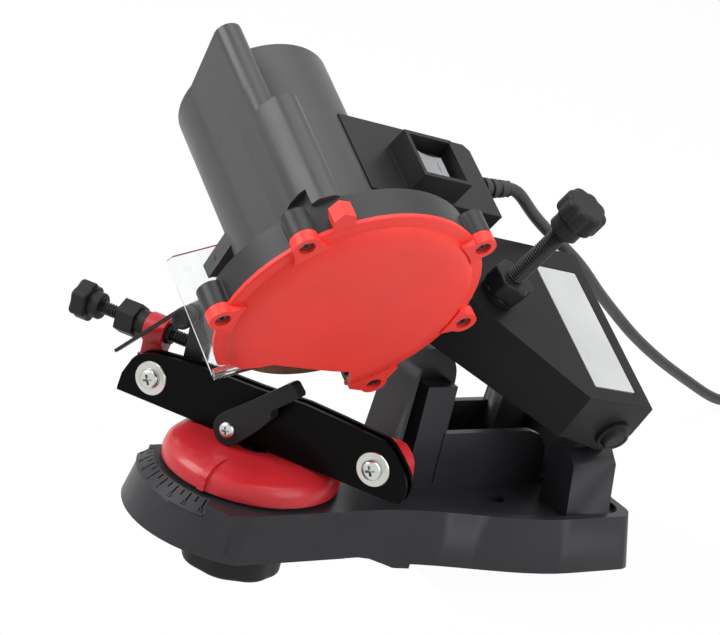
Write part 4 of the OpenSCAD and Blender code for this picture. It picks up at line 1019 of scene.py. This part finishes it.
@dataclass
class Vise:
    """Round table with two jaw plates and a clamping lever."""

    front: float = -4.0
    screw_z: float = 22.7
    screws: tuple[float, float] = (-53.0, 56.3)
    lever: tuple[float, float] = (-8.0, 18.5)

    def table(self) -> None:
        """Red table with its beam and the wedge that points at the scale."""
        blank = Blank.of_node("turntable")
        blank.soften(0.7, 3, 38)
        wedge = [
            (24, 10), (24.6, 11.4), (31, 11.2), (36.2, 9.5), (39.4, 6.6), (40.4, 3.4), (40.4, 0.2), (30, 0.2)
        ]
        blank.slab(wedge, -1.6, 1.6, VISE @ turn("Z", -94) @ FACE_Y)
        blank.finish("turntable_dressed", HERE, ENAMEL, "turntable_body", ["turntable"])

    def jaws(self) -> None:
        """The two plates, their edges rounded."""
        for node in ("front_jaw", "rear_jaw"):
            dress(node, JAW, body_of(node), 0.35, steps=3, angle=40)

    def fasteners(self) -> None:
        """Washers with a raised rim, and cross-head screws."""
        washers, screws = Blank(), Blank()
        for x in self.screws:
            at = shift(x, self.front, self.screw_z) @ FACE_Y
            washers.turned(
                [
                    (2.55, 0), (7.6, 0), (7.6, 0.8), (7.35, 1.15), (6.9, 1.2), (6.0, 0.95),
                    (4.9, 0.95), (4.4, 1.2), (2.9, 1.2), (2.55, 1.0),
                ],
                at, 56, ring=True,
            )
            screws.drum(2.5, -17.1, 1.2, at, sides=40)
            screws.screw_head(4.6, 2.6, at @ shift(0, 0, 1.2) @ turn("Z", 24))
        washers.finish("jaw_washers_dressed", VISE, ZINC, "turntable_body", ["jaw_washers"])
        screws.finish("jaw_screws_dressed", VISE, NICKEL, "turntable_body", ["jaw_screws"])

    def clamp(self) -> None:
        """Clamping lever with its bolt and screw."""
        dress("clamp_bolt", STEEL, body_of("clamp_bolt"), 0.3)
        dress("clamp_lever", KNOB, "lever_body", 0.9, steps=3)
        screw = Blank()
        at = shift(self.lever[0], -14.3, self.lever[1]) @ FACE_Y
        screw.drum(1.5, -2.0, 0.3, at, sides=32)
        screw.screw_head(3.6, 2.1, at @ turn("Z", 15))
        screw.finish("lever_screw_dressed", VISE, NICKEL, "lever_body", ["lever_screw"])

    def build(self) -> None:
        """Makes the vise."""
        self.table()
        self.jaws()
        self.fasteners()
        self.clamp()


# ---------- the angle lock ----------


@dataclass
class AngleLock:
    """Knob under the table that locks its angle."""

    radius: float = 22.3
    drop: float = 19.0
    top: float = 3.2

    def build(self) -> None:
        """Makes the lock."""
        knob = Blank()
        foot, shoulder = -self.drop, self.top - 4
        knob.lobed(self.radius, 8, 0.7, foot, shoulder, 2.0, narrow=1.5)
        knob.drum(13, shoulder - 0.2, self.top)
        knob.turned([(7.2, foot), (11.5, foot), (11.5, foot + 0.3), (7.2, foot + 0.3)], sides=48, ring=True)
        knob.finish("lock_knob_dressed", TABLE, KNOB, body_of("lock_knob"), ["lock_knob"])
        coat("lock_insert", BRASS)
        coat("lock_bolt", STEEL)
        dress("lock_washer", ZINC, body_of("lock_washer"), 0.2)


# ---------- the chain stop ----------


@dataclass
class ChainStop:
    """Screw-set stop that places each link of the chain."""

    y: float = 8.0
    z: float = 40.0
    radius: float = 3.0

    def build(self) -> None:
        """Makes the stop."""
        at = shift(0, self.y, self.z) @ TO_X
        dress("stop_carrier", ENAMEL, body_of("stop_carrier"), 0.8, steps=3)
        dress("stop_bush", KNOB, body_of("stop_bush"), 0.6, steps=3)
        screw = Blank()
        screw.thread(2.55, self.radius, 1.25, -92, -40, at)
        screw.finish("stop_screw_dressed", VISE, OXIDE, body_of("stop_screw"), ["stop_screw"], 60)
        knob = Blank()
        knob.lobed(9.0, 6, 1.3, -102, -94, 1.4, at)
        collar = [(3.1, -95), (6, -95), (6, -89.8), (5.6, -89.2), (4.9, -89), (3.1, -89)]
        knob.turned(collar, at, 48, ring=True)
        knob.finish("stop_knob_dressed", VISE, KNOB, body_of("stop_knob"), ["stop_knob"])
        dress("stop_bracket", OXIDE, body_of("stop_bracket"), 0.4)
        coat("pawl_pin", STEEL)
        dress("pawl", OXIDE, body_of("pawl"), 0.25)
        cap = Blank()
        cap.turned(
            [
                (0, 0), (4.6, 0), (4.6, 1.0), (4.2, 1.3), (4.2, 1.7), (4.6, 2.0),
                (4.6, 3.6), (4.1, 4.3), (3.0, 4.5), (2.4, 4.1), (0, 4.1),
            ],
            shift(-43, -4.5, 55) @ FACE_Y, 48,
        )
        cap.finish("pawl_knob_dressed", VISE, KNOB, body_of("pawl_knob"), ["pawl_knob"])


# ---------- the head ----------


@dataclass
class HeadArm:
    """Arm that tips on the hinge, with its blank plate."""

    plate: tuple[float, float] = (68.0, 27.0)
    middle: tuple[float, float] = (4.0, 51.0)

    def build(self) -> None:
        """Makes the arm."""
        dress("head_arm", ARM_BLACK, "head", 0.6, steps=2, angle=40)
        plate = Blank()
        half_l, half_w = self.plate[0] / 2 - 0.5, self.plate[1] / 2 - 0.5
        x, y = self.middle
        plate.block((x - half_l, y - half_w, -0.8), (x + half_l, y + half_w, -0.02))
        upright = [e for e in plate.mesh.edges if abs(e.verts[0].co.z - e.verts[1].co.z) > 0.5]
        round_off(plate.mesh, upright, 0.5, 3)
        plate.finish("rating_plate_dressed", DECK, PALE, "head", ["rating_plate"])


@dataclass
class DepthStop:
    """Threaded stop that sets how deep the wheel goes."""

    place: Matrix = DECK @ shift(-6.5, 0, 0)

    def build(self) -> None:
        """Makes the screw, its knob and its lock nut."""
        screw = Blank()
        screw.thread(3.45, 4.0, 1.25, -31.5, 46)
        screw.finish("depth_screw_dressed", self.place, OXIDE, body_of("depth_screw"), ["depth_screw"], 60)
        knob = Blank()
        knob.lobed(10.3, 8, 1.0, 50, 61, 3.0, narrow=2.0)
        knob.turned([(4.1, 43), (6.2, 43), (7, 43.8), (7, 50.4), (4.1, 50.4)], sides=48, ring=True)
        knob.finish("depth_knob_dressed", self.place, KNOB, body_of("depth_knob"), ["depth_knob"])
        nut = Blank()
        nut.turned([(4.05, 0.3), (8.5, 0.3), (8.5, 2.9), (8.0, 3.4), (4.05, 3.4)], sides=56, ring=True)
        nut.lobed(10, 6, 1.4, 3.3, 12.3, 1.2)
        nut.finish("depth_lock_nut_dressed", self.place, KNOB, body_of("depth_lock_nut"), ["depth_lock_nut"])
        coat("depth_insert", BRASS)


@dataclass
class Motor:
    """Housing, end cap and what turns inside."""

    rib_corner: Triple = (-40.0, -37.5, -38.7)
    rib_near: Triple = (4.0, 2.5, 2.5)
    rib_trim: Triple = (0.0, 5.0, 2.2)

    def housing(self) -> None:
        """The housing, with a short rib at the far end of the clear plate."""
        blank = Blank.of_node("motor_housing")
        for vert in blank.mesh.verts:
            at = HEAD.inverted() @ vert.co
            gap = at - Vector(self.rib_corner)
            if all(abs(far) < near for far, near in zip(gap, self.rib_near)):
                vert.co = HEAD @ (at + Vector(self.rib_trim))
        blank.soften(0.5, 2, 40)
        blank.finish("motor_housing_dressed", HERE, HOUSING, "head", ["motor_housing"])

    def build(self) -> None:
        """Makes the motor."""
        self.housing()
        dress("motor_cap", HOUSING, "head", 0.5, steps=2, angle=40)
        for node, finish in (
            ("front_bearing", STEEL), ("rear_bearing", STEEL), ("field_ring", IRON), ("brush_holders", BROWN),
            ("spindle", STEEL), ("rotor", IRON), ("fan", NYLON),
        ):
            coat(node, finish)


@dataclass
class Wheel:
    """Grinding wheel between its flanges, in its guard and cover."""

    radius: float = 54.0
    half: float = 1.6
    bore: float = 11.5
    ears: tuple[float, ...] = (183, 135.5, 46, -5.5, -53)
    ear_ring: float = 59.2
    visor_screws: tuple[float, float] = (-40, -14)

    def build(self) -> None:
        """Makes the wheel and what guards it."""
        wheel = Blank()
        r, t = self.radius, self.half
        wheel.turned(
            [
                (self.bore, -t), (r - 1.2, -t), (r - 0.3, -t + 0.5), (r, 0),
                (r - 0.3, t - 0.5), (r - 1.2, t), (self.bore, t),
            ],
            TO_X, 128, ring=True,
        )
        wheel.finish("grinding_wheel_dressed", HEAD, GRIT, body_of("grinding_wheel"), ["grinding_wheel"])
        for node, width in (("inner_flange", 0.3), ("outer_flange", 0.3), ("wheel_nut", 0.4)):
            dress(node, STEEL, body_of(node), width)
        dress("wheel_guard", GUARD, "head", 0.5, steps=2, angle=40)
        dress("wheel_cover", RED, "head", 0.6, steps=3, angle=40)
        screws = Blank()
        for angle in self.ears:
            at = turn("X", angle) @ shift(0, self.ear_ring, 0) @ TO_X
            screws.drum(1.55, -1.5, 9.0, at, sides=24)
            screws.screw_head(3.0, 1.9, at @ shift(0, 0, 9.0))
        # The cover screws take the darkened steel, painted shade of the deep ear holes.
        screws.finish("cover_screws_dressed", HEAD, HOLE_SHADE_STEEL, "head", ["cover_screws"])
        self.visor()

    def visor(self) -> None:
        """Clear plate under the motor, with its folded end and its screws."""
        plate = Blank.of_node("visor")
        plate.block((8.6, -24.4, -1.7), (11, -3, 3.6), VISOR)
        plate.soften(0.3)
        plate.finish("visor_dressed", HERE, CLEAR, "head", ["visor"])
        screws = Blank()
        for x in self.visor_screws:
            at = shift(x, -6, -1.6) @ turn("X", 180)
            screws.drum(1.5, -9.6, 0.1, at, sides=24)
            screws.screw_head(3.0, 1.8, at)
        screws.finish("visor_screws_dressed", VISOR, STEEL, "head", ["visor_screws"])


@dataclass
class Switch:
    """Switch box with a hooded rocker."""

    at: tuple[float, float] = (-43.7, 30.5)

    def build(self) -> None:
        """Makes the switch."""
        dress("switch_box", BOX_BLACK, "head", 0.6, steps=3, angle=40)
        dress("switch_body", NYLON, "head", 0.3)
        rocker = Blank()
        tip = turn("X", -6)
        half = [(3, -2.5), (8.2, 1), (8.6, 6), (6.5, 5.4), (4, 4.95), (1.5, 4.75)]
        sides = [(-3, -2.5)] + half + [(0, 4.7)] + [(-x, y) for x, y in reversed(half[1:])]
        rocker.slab(sides, -6.1, 6.1, tip @ PROFILE_X)
        rocker.soften(0.5, 3, 30)
        rocker.drum(1.0, -7.5, 7.5, TO_X, sides=24)
        rocker.block((-2.2, 4.6, 5.1), (2.2, 5.2, 5.4), tip)
        rocker.finish("rocker_dressed", BOX @ shift(*self.at, 1), GREY, "rocker_body", ["rocker"])


def main() -> None:
    """Builds the studio and the machine in order."""
    logging.basicConfig(level=logging.INFO, format="%(message)s")
    for kind in (Studio, Lead, Base, Vise, AngleLock, ChainStop, HeadArm, DepthStop, Motor, Wheel, Switch):
        kind().build()
        LOG.info("built %s", kind.__name__)
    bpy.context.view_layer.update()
    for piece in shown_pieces():
        LOG.info("piece %s", piece.name)


if __name__ == "__main__":
    main()
